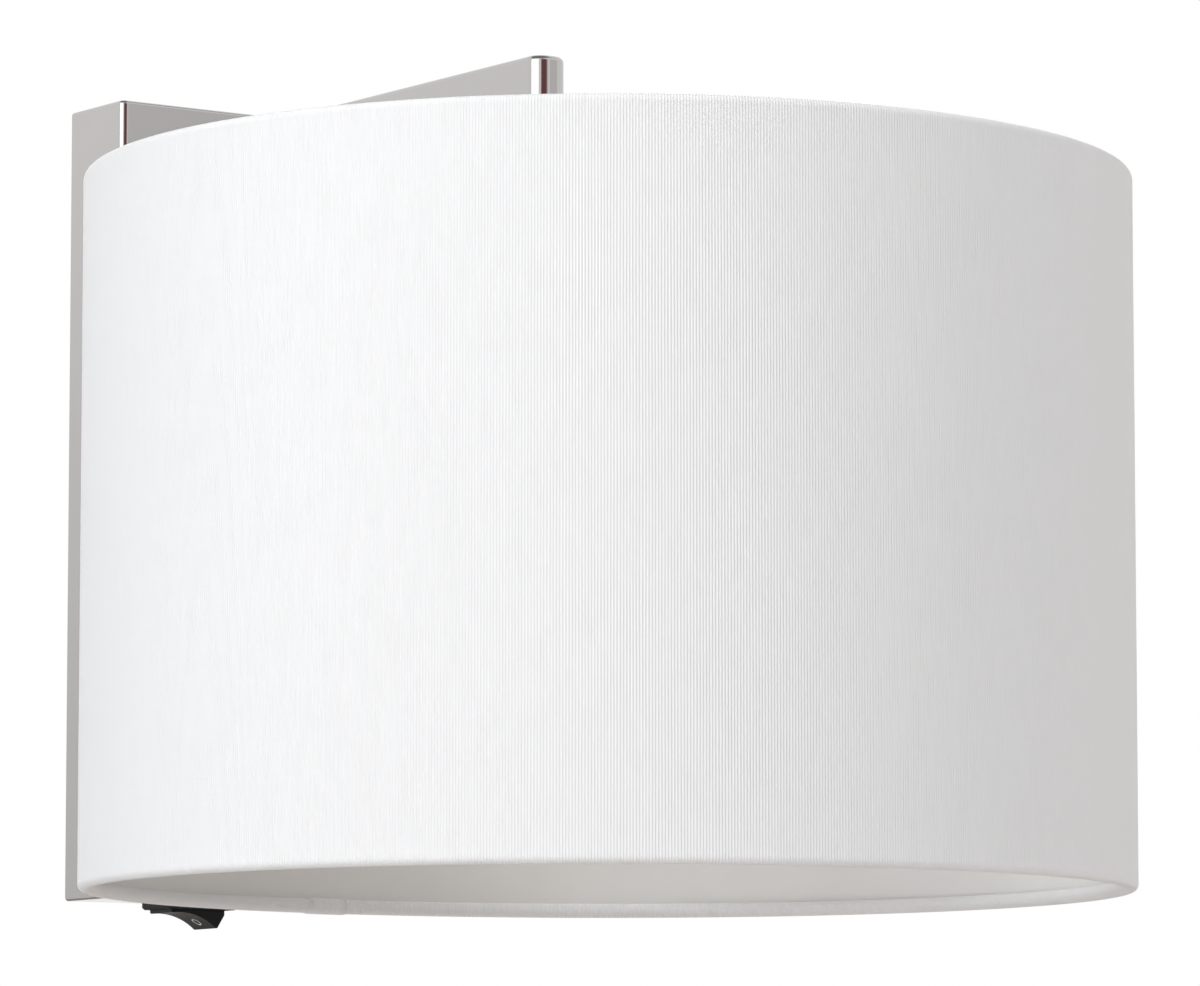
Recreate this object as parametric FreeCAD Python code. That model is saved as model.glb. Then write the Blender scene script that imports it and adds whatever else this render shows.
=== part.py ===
import FreeCAD, Part
import math
import os

# Wall light with a fabric drum shade: a slim wall box, a flat arm out of its front, a carrier under
# the arm's end that holds the lampholder, and the shade clamped on the lampholder by a ring.
# Frame, in millimetres: the wall is the plane Y = 0 with +Y into it, X runs to the right for someone
# who faces the wall, and Z is up. The origin is the centre of the box's back.

V = FreeCAD.Vector
ALONG_X = V(1, 0, 0)
ALONG_Y = V(0, 1, 0)
ALONG_Z = V(0, 0, 1)

# ---- wall box ------------------------------------------------------------------------------------
BOX_WIDTH = 60.0
BOX_HEIGHT = 206.0
BOX_DEPTH = 25.0
SHELL_WALL = 1.2
SHELL_CORNER = 2.0
SHELL_EDGE = 1.0

# ---- clearances and cutters ----------------------------------------------------------------------
FIT = 0.3
THREAD_GAP = 0.05
SAME_PLACE = 1e-4
CUT_MARGIN = 1.0

# ---- wall bracket --------------------------------------------------------------------------------
BRACKET_SHEET = 1.5
BRACKET_BEND = 1.5
BRACKET_SIDE_GAP = 2.8
TOP_EAR_DEPTH = 14.0
TOP_EAR_WIDTH = 48.0
FOOT_DEPTH = 10.0
FOOT_WIDTH = 10.0
WALL_SCREW_SPACING = 140.0
WALL_SCREW_HOLE = 5.0
SHELL_SCREW_SPACING = 36.0
SHELL_SCREW_SETBACK = 8.0
CABLE_ENTRY_HEIGHT = 25.0
CABLE_ENTRY_BORE = 8.0
GROMMET_NECK = 12.0
GROMMET_FLANGE = 16.0
GROMMET_FLANGE_HEIGHT = 2.0
GROMMET_CHAMFER = 0.8
EARTH_SCREW_SIDE = 17.0
EARTH_SCREW_RISE = 31.0

# ---- screws --------------------------------------------------------------------------------------
M4 = 4.0
M4_HEAD = 7.0
M4_HEAD_HEIGHT = 2.6
M3 = 3.0
M3_HEAD = 5.4
M3_HEAD_HEIGHT = 1.9
SLOT_WIDTH = 0.9
SLOT_DEPTH = 1.1
SCREW_HOLE_GAP = 0.25
HEAD_CHAMFER_SHARE = 0.25
SHELL_SCREW_LENGTH = 8.0
EARTH_SCREW_LENGTH = 5.0
WASHER_HEIGHT = 0.8
WASHER_DIAMETER = 9.0

# ---- terminal block ------------------------------------------------------------------------------
POLES = 3
POLE_PITCH = 9.0
BLOCK_HEIGHT = 18.0
BLOCK_BASE = 3.0
BLOCK_CENTRE_HEIGHT = -40.0
BARREL_RADIUS = 4.0
BARREL_AXIS_DEPTH = 8.0
CLAMP_RADIUS = 2.6
CLAMP_BORE = 1.4
CLAMP_END_GAP = 1.5
CLAMP_SCREW_RADIUS = 1.3
CLAMP_SLOT_WIDTH = 0.6
CLAMP_SLOT_DEPTH = 0.8
CLAMP_SCREW_SPREAD = 10.0
BLOCK_SCREW_LENGTH = 4.0

# ---- arm -----------------------------------------------------------------------------------------
ARM_WIDTH = 10.0
ARM_HEIGHT = 25.0
ARM_REACH = 152.2
ARM_DROP = 7.6
ARM_WALL = 1.2
ARM_END_ROUND = 3.0
ARM_EDGE_ROUND = 2.2
END_PLUG_LENGTH = 8.0
SPIGOT_LENGTH = 8.0
SPIGOT_HEIGHT = 13.0
ROOT_BLOCK_LENGTH = 14.0
ROOT_BORE = 6.0
ARM_SCREW_SPREAD = 16.0
ARM_SCREW_LENGTH = 13.0
BACKING_SHEET = 2.0
BACKING_WIDTH = 30.0
BACKING_HEIGHT = 36.0

# ---- carrier under the arm -----------------------------------------------------------------------
CARRIER_TAIL = 86.0
CARRIER_HEIGHT = 12.0
EYE_RADIUS = 12.0
POCKET_RADIUS = 9.2
GROOVE_WIDTH = 6.0
GROOVE_DEPTH = 8.0
GROOVE_START = 48.0
CARRIER_EDGE = 1.0
CARRIER_SCREW_SETBACKS = (76.0, 62.0)
COUNTERBORE_DEPTH = 4.0
NUT_STRIP_LENGTH = 26.0
NUT_STRIP_HEIGHT = 4.0
ARM_SLOT_LENGTH = 17.0
COVER_SHEET = 1.2
COVER_CHAMFER = 0.5
COVER_LIP_DEPTH = 3.0
COVER_LIP_WALL = 1.4

# ---- nipple and lampholder -----------------------------------------------------------------------
NIPPLE_RADIUS = 5.0
NIPPLE_BORE = 3.6
NIPPLE_INTO_CAP = 6.0
NUT_FLATS = 14.0
NUT_HEIGHT = 3.0
NIPPLE_ABOVE_NUT = 0.5
NECK_RADIUS = 9.5
NECK_HEIGHT = 7.0
CAP_HEIGHT = 26.7
CAP_RADIUS = 21.0
CAP_SHOULDER = 8.0
CAP_BEVEL = 3.0
HOLDER_WALL = 2.0
FLANGE_RADIUS = 22.5
FLANGE_HEIGHT = 3.0
SKIRT_RADIUS = 19.9
SKIRT_LENGTH = 32.0
SKIRT_SPIGOT = 6.0
SKIRT_BORE = 14.6
SKIRT_LEAD_IN = 0.8
INSERT_RADIUS = 15.3
INSERT_HEIGHT = 17.0
INSERT_CHAMFER = 1.0
INSERT_LEDGE_DROP = 9.0
INSERT_RECESS_RADIUS = 10.5
INSERT_RECESS_DEPTH = 4.0
SLEEVE_WALL = 0.5
SLEEVE_BORE = 13.45
SLEEVE_LENGTH = 21.0
LEAF_WIDTH = 5.0
LEAF_SHEET = 0.5
LEAF_SPAN = 14.0
LEAF_MIDDLE_HEIGHT = 2.1
HOLDER_TERMINAL_SPREAD = 10.0
TERMINAL_BLOCK_SIZE = 5.0
LEAD_INTO_TERMINAL = 2.0

# ---- shade ring and shade ------------------------------------------------------------------------
RING_RUNNING_GAP = 0.1
RING_FLANGE_RADIUS = 27.0
RING_FLANGE_HEIGHT = 3.0
RING_GRIP_RADIUS = 24.5
RING_GRIP_HEIGHT = 9.0
RING_GRIP_CHAMFER = 1.0
RING_FLUTES = 16
RING_FLUTE_RADIUS = 1.2
SHADE_REACH = 200.0
SHADE_DIAMETER = 250.0
SHADE_HEIGHT = 170.0
SHADE_TOP_DROP = 41.5
FABRIC_WALL = 0.5
LINING_WALL = 0.4
LAMINATE_GAP = 0.05
LINING_RIM_SETBACK = 1.0
RIM_WIRE_RADIUS = 1.3
BEAD_SIDES = 8
HUB_RING_RADIUS = 30.0
HUB_RING_SHEET = 1.5
HUB_BORE_GAP = 0.4
SPOKE_RADIUS = 1.4
SPOKE_COUNT = 3
FIRST_SPOKE_ANGLE = 90.0
SPOKE_FLAT_END = 36.0
SPOKE_START = 24.5
SPOKE_BEND = 25.0

# ---- bulb ----------------------------------------------------------------------------------------
BULB_LENGTH = 106.5
BULB_RADIUS = 30.0
BULB_CAP_GAP = 0.35
BULB_CAP_LENGTH = 24.0
BULB_CAP_ROUND = 2.0
BULB_INSULATOR_HEIGHT = 2.0
BULB_INSULATOR_RADIUS = 9.0
BULB_INSULATOR_TOP_RADIUS = 5.5
BULB_CONTACT_RADIUS = 4.5
BULB_CONTACT_HEIGHT = 1.0
BULB_COLLAR_LENGTH = 37.0
BULB_COLLAR_RADII = (14.0, 15.0, 25.0, 28.0)
BULB_COLLAR_DROPS = (0.0, 7.4, 27.7, BULB_COLLAR_LENGTH)
CONTACT_GAP = 0.3

# ---- rocker switch -------------------------------------------------------------------------------
BEZEL_LENGTH = 21.0
BEZEL_WIDTH = 15.0
BEZEL_HEIGHT = 2.0
BEZEL_CORNER = 1.5
BEZEL_CHAMFER = 0.6
SWITCH_LENGTH = 19.0
SWITCH_WIDTH = 12.8
SWITCH_DEPTH = 15.0
SWITCH_CUTOUT_GAP = 0.1
ROCKER_WELL_LENGTH = 18.0
ROCKER_WELL_DEPTH = 9.0
ROCKER_WIDTH = 10.6
ROCKER_TILT = 16.0
ROCKER_PIVOT_HEIGHT = 1.5
ROCKER_TIP_REACH = 7.15
ROCKER_TIP_HEIGHT = 6.8
ROCKER_DISH = 1.6
ROCKER_FLANK_REACH = 8.35
ROCKER_FLANK_HEIGHT = 2.6
ROCKER_HEEL_REACH = 7.4
ROCKER_HEEL_HEIGHT = 0.65
ROCKER_BACK_REACH = 4.5
ROCKER_BACK_DEPTH = 3.5
ROCKER_TIP_ROUND = 0.5
TRUNNION_RADIUS = 1.2
TRUNNION_LENGTH = 0.7
TRUNNION_GAP = 0.05
BLADE_WIDTH = 4.8
BLADE_SHEET = 0.8
BLADE_LENGTH = 7.0
BLADE_SPREAD = 8.0

# ---- leads ---------------------------------------------------------------------------------------
LEAD_RADIUS = 1.1
LEAD_SIDES = 6
LEAD_SPREAD = 1.35
LEAD_CORNER_SHARE = 0.45
LEAD_DEPTH = 14.0
LEAD_UNDER_ARM = 1.5
LEAD_REST_GAP = 0.2

# Distance from the wall and sag under the arm's middle, for the leads inside the arm.
ARM_STATIONS = ((45.0, 0.0), (92.0, 0.6), (138.0, 1.0))
ARM_SLOT_SETBACK = 7.5
LEAD_UNDER_NIPPLE = 0.5
LEAD_OVER_TERMINAL = 7.0

# Distance to the right, distance from the wall and height, for the leads inside the box.
NEUTRAL_STATIONS = (
    (0.0, 8.0, -21.0),
    (-4.0, 14.0, -5.0),
    (-6.0, 15.0, 28.0),
    (-3.0, 13.0, 58.0),
)
LIVE_STATIONS = (
    (20.0, 14.0, -54.0),
    (21.0, 16.0, -22.0),
    (18.0, 14.0, 14.0),
    (10.0, 15.0, 42.0),
    (4.0, 13.0, 62.0),
)
BLADE_LEAD_RISE = 9.0
BLOCK_LEAD_DROP = 9.0
EARTH_LEAD_DROP = 5.0
EARTH_LEAD_BEND = (2.0, 2.0, 12.0)

# ---- places worked out from the sizes above ------------------------------------------------------
M4_CLEAR = M4 + 2 * SCREW_HOLE_GAP
M3_CLEAR = M3 + 2 * SCREW_HOLE_GAP
BOX_TOP = BOX_HEIGHT / 2
BOX_BOTTOM = -BOX_HEIGHT / 2
BOX_FRONT = -BOX_DEPTH
EARTH_SCREW_PLACE = (EARTH_SCREW_SIDE, BOX_BOTTOM + EARTH_SCREW_RISE)
INNER_TOP = BOX_TOP - SHELL_WALL
INNER_FRONT = BOX_FRONT + SHELL_WALL
ARM_TOP = BOX_TOP - ARM_DROP
ARM_BOTTOM = ARM_TOP - ARM_HEIGHT
ARM_MIDDLE = ARM_TOP - ARM_HEIGHT / 2
ARM_END = BOX_FRONT - ARM_REACH
PLUG_JOINT = ARM_END + END_PLUG_LENGTH
AXIS_Y = -SHADE_REACH
CARRIER_BOTTOM = ARM_BOTTOM - CARRIER_HEIGHT
GROOVE_FLOOR = ARM_BOTTOM - GROOVE_DEPTH
CAP_BOTTOM = CARRIER_BOTTOM - CAP_HEIGHT
FLANGE_BOTTOM = CAP_BOTTOM - FLANGE_HEIGHT
SKIRT_BOTTOM = FLANGE_BOTTOM - SKIRT_LENGTH
INSERT_BOTTOM = CAP_BOTTOM - INSERT_LEDGE_DROP
INSERT_TOP = INSERT_BOTTOM + INSERT_HEIGHT
RECESS_TOP = INSERT_BOTTOM + INSERT_RECESS_DEPTH
HUB_BOTTOM = FLANGE_BOTTOM - HUB_RING_SHEET
RING_TOP = HUB_BOTTOM - RING_RUNNING_GAP
SHADE_RADIUS = SHADE_DIAMETER / 2
SHADE_TOP = BOX_TOP - SHADE_TOP_DROP
SHADE_BOTTOM = SHADE_TOP - SHADE_HEIGHT
RIM_CENTRE_RADIUS = SHADE_RADIUS - FABRIC_WALL - RIM_WIRE_RADIUS
TOP_RIM_HEIGHT = SHADE_TOP - FABRIC_WALL - RIM_WIRE_RADIUS
BOTTOM_RIM_HEIGHT = SHADE_BOTTOM + FABRIC_WALL + RIM_WIRE_RADIUS
LINING_OUTSIDE = SHADE_RADIUS - FABRIC_WALL - LAMINATE_GAP
LINING_INSIDE = LINING_OUTSIDE - LINING_WALL
SPOKE_HEIGHT = FLANGE_BOTTOM + SPOKE_RADIUS
LEAF_BOTTOM = INSERT_BOTTOM + LEAF_MIDDLE_HEIGHT
BULB_TIP = LEAF_BOTTOM - CONTACT_GAP
BULB_CAP_TOP = BULB_TIP - BULB_CONTACT_HEIGHT - BULB_INSULATOR_HEIGHT
BULB_CAP_BOTTOM = BULB_CAP_TOP - BULB_CAP_LENGTH
BULB_COLLAR_BOTTOM = BULB_CAP_BOTTOM - BULB_COLLAR_LENGTH
BULB_BOTTOM = BULB_TIP - BULB_LENGTH
BLOCK_TOP = BLOCK_CENTRE_HEIGHT + BLOCK_HEIGHT / 2
BLOCK_BOTTOM = BLOCK_CENTRE_HEIGHT - BLOCK_HEIGHT / 2
SWITCH_Y = -BOX_DEPTH / 2
SWITCH_TOP = BOX_BOTTOM + SWITCH_DEPTH
BLADE_TOP = SWITCH_TOP + BLADE_LENGTH
WELL_TOP = BOX_BOTTOM - BEZEL_HEIGHT + ROCKER_WELL_DEPTH + ROCKER_PIVOT_HEIGHT
PIVOT_HEIGHT = BOX_BOTTOM + ROCKER_PIVOT_HEIGHT


# ---- shapes --------------------------------------------------------------------------------------
def block(x0, x1, y0, y1, z0, z1):
    low = V(min(x0, x1), min(y0, y1), min(z0, z1))
    return Part.makeBox(abs(x1 - x0), abs(y1 - y0), abs(z1 - z0), low)


def rod(radius, start, end):
    line = end - start
    return Part.makeCylinder(radius, line.Length, start, line)


def drill(diameter, start, end):
    """A round cutter for a hole from the start to the end, open at both."""
    past = (end - start).normalize() * CUT_MARGIN
    return rod(diameter / 2, start - past, end + past)


def fuse(first, *others):
    shape = first
    for other in others:
        shape = shape.fuse(other)
    return shape.removeSplitter()


def cut(first, *others):
    shape = first
    for other in others:
        shape = shape.cut(other)
    return shape


def edges_where(shape, test):
    return [edge for edge in shape.Edges if all(test(vertex.Point) for vertex in edge.Vertexes)]


def near(value, target):
    return abs(value - target) < SAME_PLACE


def turned(points):
    """A solid turned about the shade's axis from (radius, height) points; four numbers are an arc."""
    edges = []
    at = points[0]
    for point in points[1:] + [points[0]]:
        if len(point) == 4:
            through, end = point[:2], point[2:]
            edges.append(Part.Arc(place(at), place(through), place(end)).toShape())
            at = end
        elif math.dist(at, point) > SAME_PLACE:
            edges.append(Part.LineSegment(place(at), place(point)).toShape())
            at = point
    solid = Part.Face(Part.Wire(edges)).revolve(V(0, 0, 0), ALONG_Z, 360)
    solid.translate(V(0, AXIS_Y, 0))
    return solid


def place(point):
    return V(point[0], 0, point[1])


def crown(radius, foot, top):
    """The arc of a dome from its foot's circle to its top on the axis, as an outline's four numbers."""
    side = math.copysign(1, top - foot)
    sphere = (radius**2 + (top - foot) ** 2) / (2 * abs(top - foot))
    centre = top - side * sphere
    angle = math.atan2(radius, side * (foot - centre)) / 2
    return (sphere * math.sin(angle), centre + side * sphere * math.cos(angle), 0, top)


def tube_upright(outer, inner, bottom, top):
    outside = Part.makeCylinder(outer, top - bottom, V(0, AXIS_Y, bottom))
    return outside.cut(Part.makeCylinder(inner, top - bottom, V(0, AXIS_Y, bottom)))


def screw(diameter, length, head, head_height, seat, direction):
    """A slotted cheese-head screw: its head stands on the seat and its shank runs along the direction."""
    shank = rod(diameter / 2 - THREAD_GAP, seat, seat + direction * length)
    top = rod(head / 2, seat - direction * head_height, seat)
    rim = edges_where(top, lambda p: near((p - seat).dot(direction), -head_height))
    top = top.makeChamfer(head_height * HEAD_CHAMFER_SHARE, rim)
    along_slot = direction.cross(ALONG_X) * head
    corner = seat - direction * head_height - ALONG_X * (SLOT_WIDTH / 2) - along_slot
    across = ALONG_X * SLOT_WIDTH
    outline = [corner, corner + across, corner + across + along_slot * 2, corner + along_slot * 2, corner]
    slot = Part.Face(Part.makePolygon(outline)).extrude(direction * SLOT_DEPTH)
    return fuse(shank, top.cut(slot))


def group(shapes):
    return Part.makeCompound(shapes)


def lead_section(centre, direction):
    side = direction.cross(ALONG_X).normalize() * LEAD_RADIUS
    turn = FreeCAD.Rotation(direction, 360 / LEAD_SIDES)
    corners = [centre + side]
    for _ in range(LEAD_SIDES):
        side = turn.multVec(side)
        corners.append(centre + side)
    return Part.makePolygon(corners)


def lead(name, points):
    """A round lead along straight runs joined by tangent arcs, each as large as its two runs allow."""
    edges = []
    at = points[0]
    for before, corner, after in zip(points, points[1:], points[2:]):
        arriving = (corner - before).normalize()
        leaving = (after - corner).normalize()
        turn = arriving.getAngle(leaving)
        setback = LEAD_CORNER_SHARE * min(corner.distanceToPoint(before), corner.distanceToPoint(after))
        radius = setback / math.tan(turn / 2)
        start = corner - arriving * setback
        end = corner + leaving * setback
        inward = (leaving - arriving).normalize()
        middle = corner + inward * (radius / math.cos(turn / 2) - radius)
        edges.append(Part.LineSegment(at, start).toShape())
        edges.append(Part.Arc(start, middle, end).toShape())
        print(f"{name}: turn {math.degrees(turn):.0f} degrees, radius {radius:.1f} mm")
        at = end
    edges.append(Part.LineSegment(at, points[-1]).toShape())
    path = Part.Wire(edges)
    section = lead_section(points[0], points[1] - points[0])
    solid = path.makePipeShell([section], True, False)
    expected = Part.Face(section).Area * path.Length
    share = solid.Volume / expected
    print(f"{name}: length {path.Length:.0f} mm, volume {share:.4f} of section times length")
    return solid


# ---- wall box ------------------------------------------------------------------------------------
def front_rounded(shape, front, corner, edge):
    """Rounds the upright front edges, then the top and bottom outlines except at the wall."""
    box = shape.BoundBox
    upright = edges_where(shape, lambda p: near(p.y, front))
    upright = [e for e in upright if near(e.BoundBox.ZLength, box.ZLength)]
    shape = shape.makeFillet(corner, upright)
    flat = [e for e in shape.Edges if near(e.BoundBox.ZLength, 0)]
    flat = [e for e in flat if not near(e.BoundBox.YMin, box.YMax)]
    return shape.makeFillet(edge, flat)


def box_shell():
    half = BOX_WIDTH / 2
    outside = front_rounded(
        block(-half, half, BOX_FRONT, 0, BOX_BOTTOM, BOX_TOP), BOX_FRONT, SHELL_CORNER, SHELL_EDGE
    )
    inside = block(
        -half + SHELL_WALL, half - SHELL_WALL, INNER_FRONT, CUT_MARGIN, BOX_BOTTOM + SHELL_WALL, INNER_TOP
    )
    inner_upright = edges_where(inside, lambda p: near(p.y, INNER_FRONT))
    inner_upright = [e for e in inner_upright if e.BoundBox.ZLength > SHELL_WALL]
    shell = outside.cut(inside.makeFillet(SHELL_CORNER - SHELL_EDGE, inner_upright))
    for x in pair(SHELL_SCREW_SPACING):
        hole = V(x, -SHELL_SCREW_SETBACK, BOX_TOP)
        shell = shell.cut(drill(M4_CLEAR, hole, hole - ALONG_Z * SHELL_WALL))
    for z in pair(ARM_SCREW_SPREAD):
        hole = V(0, BOX_FRONT, ARM_MIDDLE + z)
        shell = shell.cut(drill(M4_CLEAR, hole, hole + ALONG_Y * SHELL_WALL))
    bore = V(0, BOX_FRONT, ARM_MIDDLE)
    shell = shell.cut(drill(ROOT_BORE, bore, bore + ALONG_Y * SHELL_WALL))
    over = BOX_BOTTOM + SHELL_WALL + CUT_MARGIN
    return shell.cut(switch_outline(SWITCH_CUTOUT_GAP, BOX_BOTTOM - CUT_MARGIN, over))


def pair(spread):
    return (-spread / 2, spread / 2)


def wall_bracket():
    """A folded steel strip on the wall: a wide ear carries the box on top, two feet guide it below."""
    top = INNER_TOP - FIT
    bend = BRACKET_BEND + BRACKET_SHEET
    diagonal = math.sqrt(0.5)
    outer_mid = V(0, -bend * (1 - diagonal), top - bend * (1 - diagonal))
    inner_mid = V(0, -bend + BRACKET_BEND * diagonal, top - bend + BRACKET_BEND * diagonal)
    corner = [
        (V(0, 0, top - bend), outer_mid, V(0, -bend, top)),
        (V(0, -bend, top - BRACKET_SHEET), inner_mid, V(0, -BRACKET_SHEET, top - bend)),
    ]
    outline = [
        Part.LineSegment(V(0, 0, 0), corner[0][0]).toShape(),
        Part.Arc(*corner[0]).toShape(),
        Part.LineSegment(corner[0][2], V(0, -TOP_EAR_DEPTH, top)).toShape(),
        Part.LineSegment(V(0, -TOP_EAR_DEPTH, top), V(0, -TOP_EAR_DEPTH, top - BRACKET_SHEET)).toShape(),
        Part.LineSegment(V(0, -TOP_EAR_DEPTH, top - BRACKET_SHEET), corner[1][0]).toShape(),
        Part.Arc(*corner[1]).toShape(),
        Part.LineSegment(corner[1][2], V(0, -BRACKET_SHEET, 0)).toShape(),
        Part.LineSegment(V(0, -BRACKET_SHEET, 0), V(0, 0, 0)).toShape(),
    ]
    half = BOX_WIDTH / 2 - SHELL_WALL - BRACKET_SIDE_GAP
    upper = Part.Face(Part.Wire(outline)).extrude(V(2 * half, 0, 0))
    upper.translate(V(-half, 0, 0))
    lower = upper.mirror(V(0, 0, 0), ALONG_Z)
    for side in (-1, 1):
        trim = block(side * TOP_EAR_WIDTH / 2, side * BOX_WIDTH, -bend, BOX_FRONT, top - bend, BOX_TOP)
        upper = upper.cut(trim)
    gap = block(-half + FOOT_WIDTH, half - FOOT_WIDTH, -BRACKET_SHEET, BOX_FRONT, BOX_BOTTOM, -top + bend)
    shorten = block(-BOX_WIDTH, BOX_WIDTH, -FOOT_DEPTH, BOX_FRONT, BOX_BOTTOM, -top + bend)
    bracket = fuse(upper, lower.cut(gap).cut(shorten))
    holes = [wall_hole(0, z, WALL_SCREW_HOLE) for z in pair(WALL_SCREW_SPACING)]
    holes.append(wall_hole(0, CABLE_ENTRY_HEIGHT, GROMMET_NECK))
    holes.append(wall_hole(*EARTH_SCREW_PLACE, M4))
    holes += [wall_hole(x, BLOCK_CENTRE_HEIGHT, M3) for x in pair(POLE_PITCH)]
    for x in pair(SHELL_SCREW_SPACING):
        start = V(x, -SHELL_SCREW_SETBACK, top)
        holes.append(drill(M4, start, start - ALONG_Z * BRACKET_SHEET))
    return cut(bracket, *holes)


def wall_hole(x, z, diameter):
    return drill(diameter, V(x, 0, z), V(x, -BRACKET_SHEET, z))


def shell_screws():
    seats = [V(x, -SHELL_SCREW_SETBACK, BOX_TOP) for x in pair(SHELL_SCREW_SPACING)]
    return group([screw(M4, SHELL_SCREW_LENGTH, M4_HEAD, M4_HEAD_HEIGHT, s, -ALONG_Z) for s in seats])


def cable_grommet():
    neck = rod(GROMMET_NECK / 2, V(0, 0, CABLE_ENTRY_HEIGHT), V(0, -BRACKET_SHEET, CABLE_ENTRY_HEIGHT))
    back = -BRACKET_SHEET - GROMMET_FLANGE_HEIGHT
    flange = rod(GROMMET_FLANGE / 2, V(0, -BRACKET_SHEET, CABLE_ENTRY_HEIGHT), V(0, back, CABLE_ENTRY_HEIGHT))
    flange = flange.makeChamfer(GROMMET_CHAMFER, edges_where(flange, lambda p: near(p.y, back)))
    bore = drill(CABLE_ENTRY_BORE, V(0, 0, CABLE_ENTRY_HEIGHT), V(0, back, CABLE_ENTRY_HEIGHT))
    return fuse(neck, flange).cut(bore)


def earth_screw():
    x, z = EARTH_SCREW_PLACE
    seat = V(x, -BRACKET_SHEET - WASHER_HEIGHT, z)
    body = screw(M4, EARTH_SCREW_LENGTH - BRACKET_SHEET, M4_HEAD, M4_HEAD_HEIGHT, seat, ALONG_Y)
    return body.common(block(x - M4_HEAD, x + M4_HEAD, 0, BOX_FRONT, z - M4_HEAD, z + M4_HEAD))


def earth_washer():
    x, z = EARTH_SCREW_PLACE
    back = V(x, -BRACKET_SHEET, z)
    face = V(x, -BRACKET_SHEET - WASHER_HEIGHT, z)
    return rod(WASHER_DIAMETER / 2, back, face).cut(drill(M4_CLEAR, back, face))


# ---- terminal block ------------------------------------------------------------------------------
def pole_places():
    first = -(POLES - 1) / 2 * POLE_PITCH
    return [first + index * POLE_PITCH for index in range(POLES)]


def clamp_screw_heights():
    return [BLOCK_CENTRE_HEIGHT + z for z in pair(CLAMP_SCREW_SPREAD)]


def terminal_block():
    half = POLES * POLE_PITCH / 2
    back = -BRACKET_SHEET
    body = block(-half, half, back, back - BLOCK_BASE, BLOCK_BOTTOM, BLOCK_TOP)
    for x in pole_places():
        foot = V(x, -BARREL_AXIS_DEPTH, BLOCK_BOTTOM)
        barrel = rod(BARREL_RADIUS, foot, foot + ALONG_Z * BLOCK_HEIGHT)
        web = block(x - BARREL_RADIUS, x + BARREL_RADIUS, back, -BARREL_AXIS_DEPTH, BLOCK_BOTTOM, BLOCK_TOP)
        body = body.fuse(barrel).fuse(web)
    body = body.removeSplitter()
    for x in pole_places():
        axis = V(x, -BARREL_AXIS_DEPTH, BLOCK_BOTTOM)
        body = body.cut(drill(2 * (CLAMP_RADIUS + THREAD_GAP), axis, axis + ALONG_Z * BLOCK_HEIGHT))
        for z in clamp_screw_heights():
            middle = V(x, -BARREL_AXIS_DEPTH, z)
            body = body.cut(rod(CLAMP_SCREW_RADIUS + SCREW_HOLE_GAP, middle, middle - ALONG_Y * BOX_DEPTH))
    for x in pair(POLE_PITCH):
        seat = V(x, back - BLOCK_BASE, BLOCK_CENTRE_HEIGHT)
        body = body.cut(drill(M3_CLEAR, seat, seat + ALONG_Y * BLOCK_BASE))
        body = body.cut(rod(M3_HEAD / 2 + FIT, seat, seat - ALONG_Y * BOX_DEPTH))
    return body


def terminal_clamps():
    clamps = []
    for x in pole_places():
        low = V(x, -BARREL_AXIS_DEPTH, BLOCK_BOTTOM + CLAMP_END_GAP)
        high = V(x, -BARREL_AXIS_DEPTH, BLOCK_TOP - CLAMP_END_GAP)
        clamp = rod(CLAMP_RADIUS, low, high).cut(rod(CLAMP_BORE, low, high))
        for z in clamp_screw_heights():
            centre = V(x, -BARREL_AXIS_DEPTH, z)
            clamp = clamp.cut(rod(CLAMP_SCREW_RADIUS, centre, centre - ALONG_Y * BOX_DEPTH))
        recess = [
            rod(M3_HEAD / 2 + FIT, V(side, 0, BLOCK_CENTRE_HEIGHT), V(side, -BOX_DEPTH, BLOCK_CENTRE_HEIGHT))
            for side in pair(POLE_PITCH)
        ]
        clamps.append(cut(clamp, *recess))
    return group(clamps)


def terminal_screws():
    screws = []
    tip = -BARREL_AXIS_DEPTH - CLAMP_BORE
    face = -BARREL_AXIS_DEPTH - BARREL_RADIUS
    for x in pole_places():
        for z in clamp_screw_heights():
            body = rod(CLAMP_SCREW_RADIUS - THREAD_GAP, V(x, tip, z), V(x, face, z))
            half = CLAMP_SLOT_WIDTH / 2
            slot = block(x - half, x + half, face, face + CLAMP_SLOT_DEPTH, z - BARREL_RADIUS, z + BARREL_RADIUS)
            screws.append(body.cut(slot))
    return group(screws)


def block_screws():
    seats = [V(x, -BRACKET_SHEET - BLOCK_BASE, BLOCK_CENTRE_HEIGHT) for x in pair(POLE_PITCH)]
    return group([screw(M3, BLOCK_SCREW_LENGTH, M3_HEAD, M3_HEAD_HEIGHT, s, ALONG_Y) for s in seats])


# ---- arm -----------------------------------------------------------------------------------------
def arm_envelope():
    half = ARM_WIDTH / 2
    bar = block(-half, half, BOX_FRONT, ARM_END, ARM_BOTTOM, ARM_TOP)
    return front_rounded(bar, ARM_END, ARM_END_ROUND, ARM_EDGE_ROUND)


def arm_inside(start, end, gap=0.0):
    half = ARM_WIDTH / 2 - ARM_WALL - gap
    inside = block(-half, half, start, end, ARM_BOTTOM + ARM_WALL + gap, ARM_TOP - ARM_WALL - gap)
    long_edges = [e for e in inside.Edges if near(e.BoundBox.YLength, abs(end - start))]
    return inside.makeFillet(ARM_EDGE_ROUND - ARM_WALL, long_edges)


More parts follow.
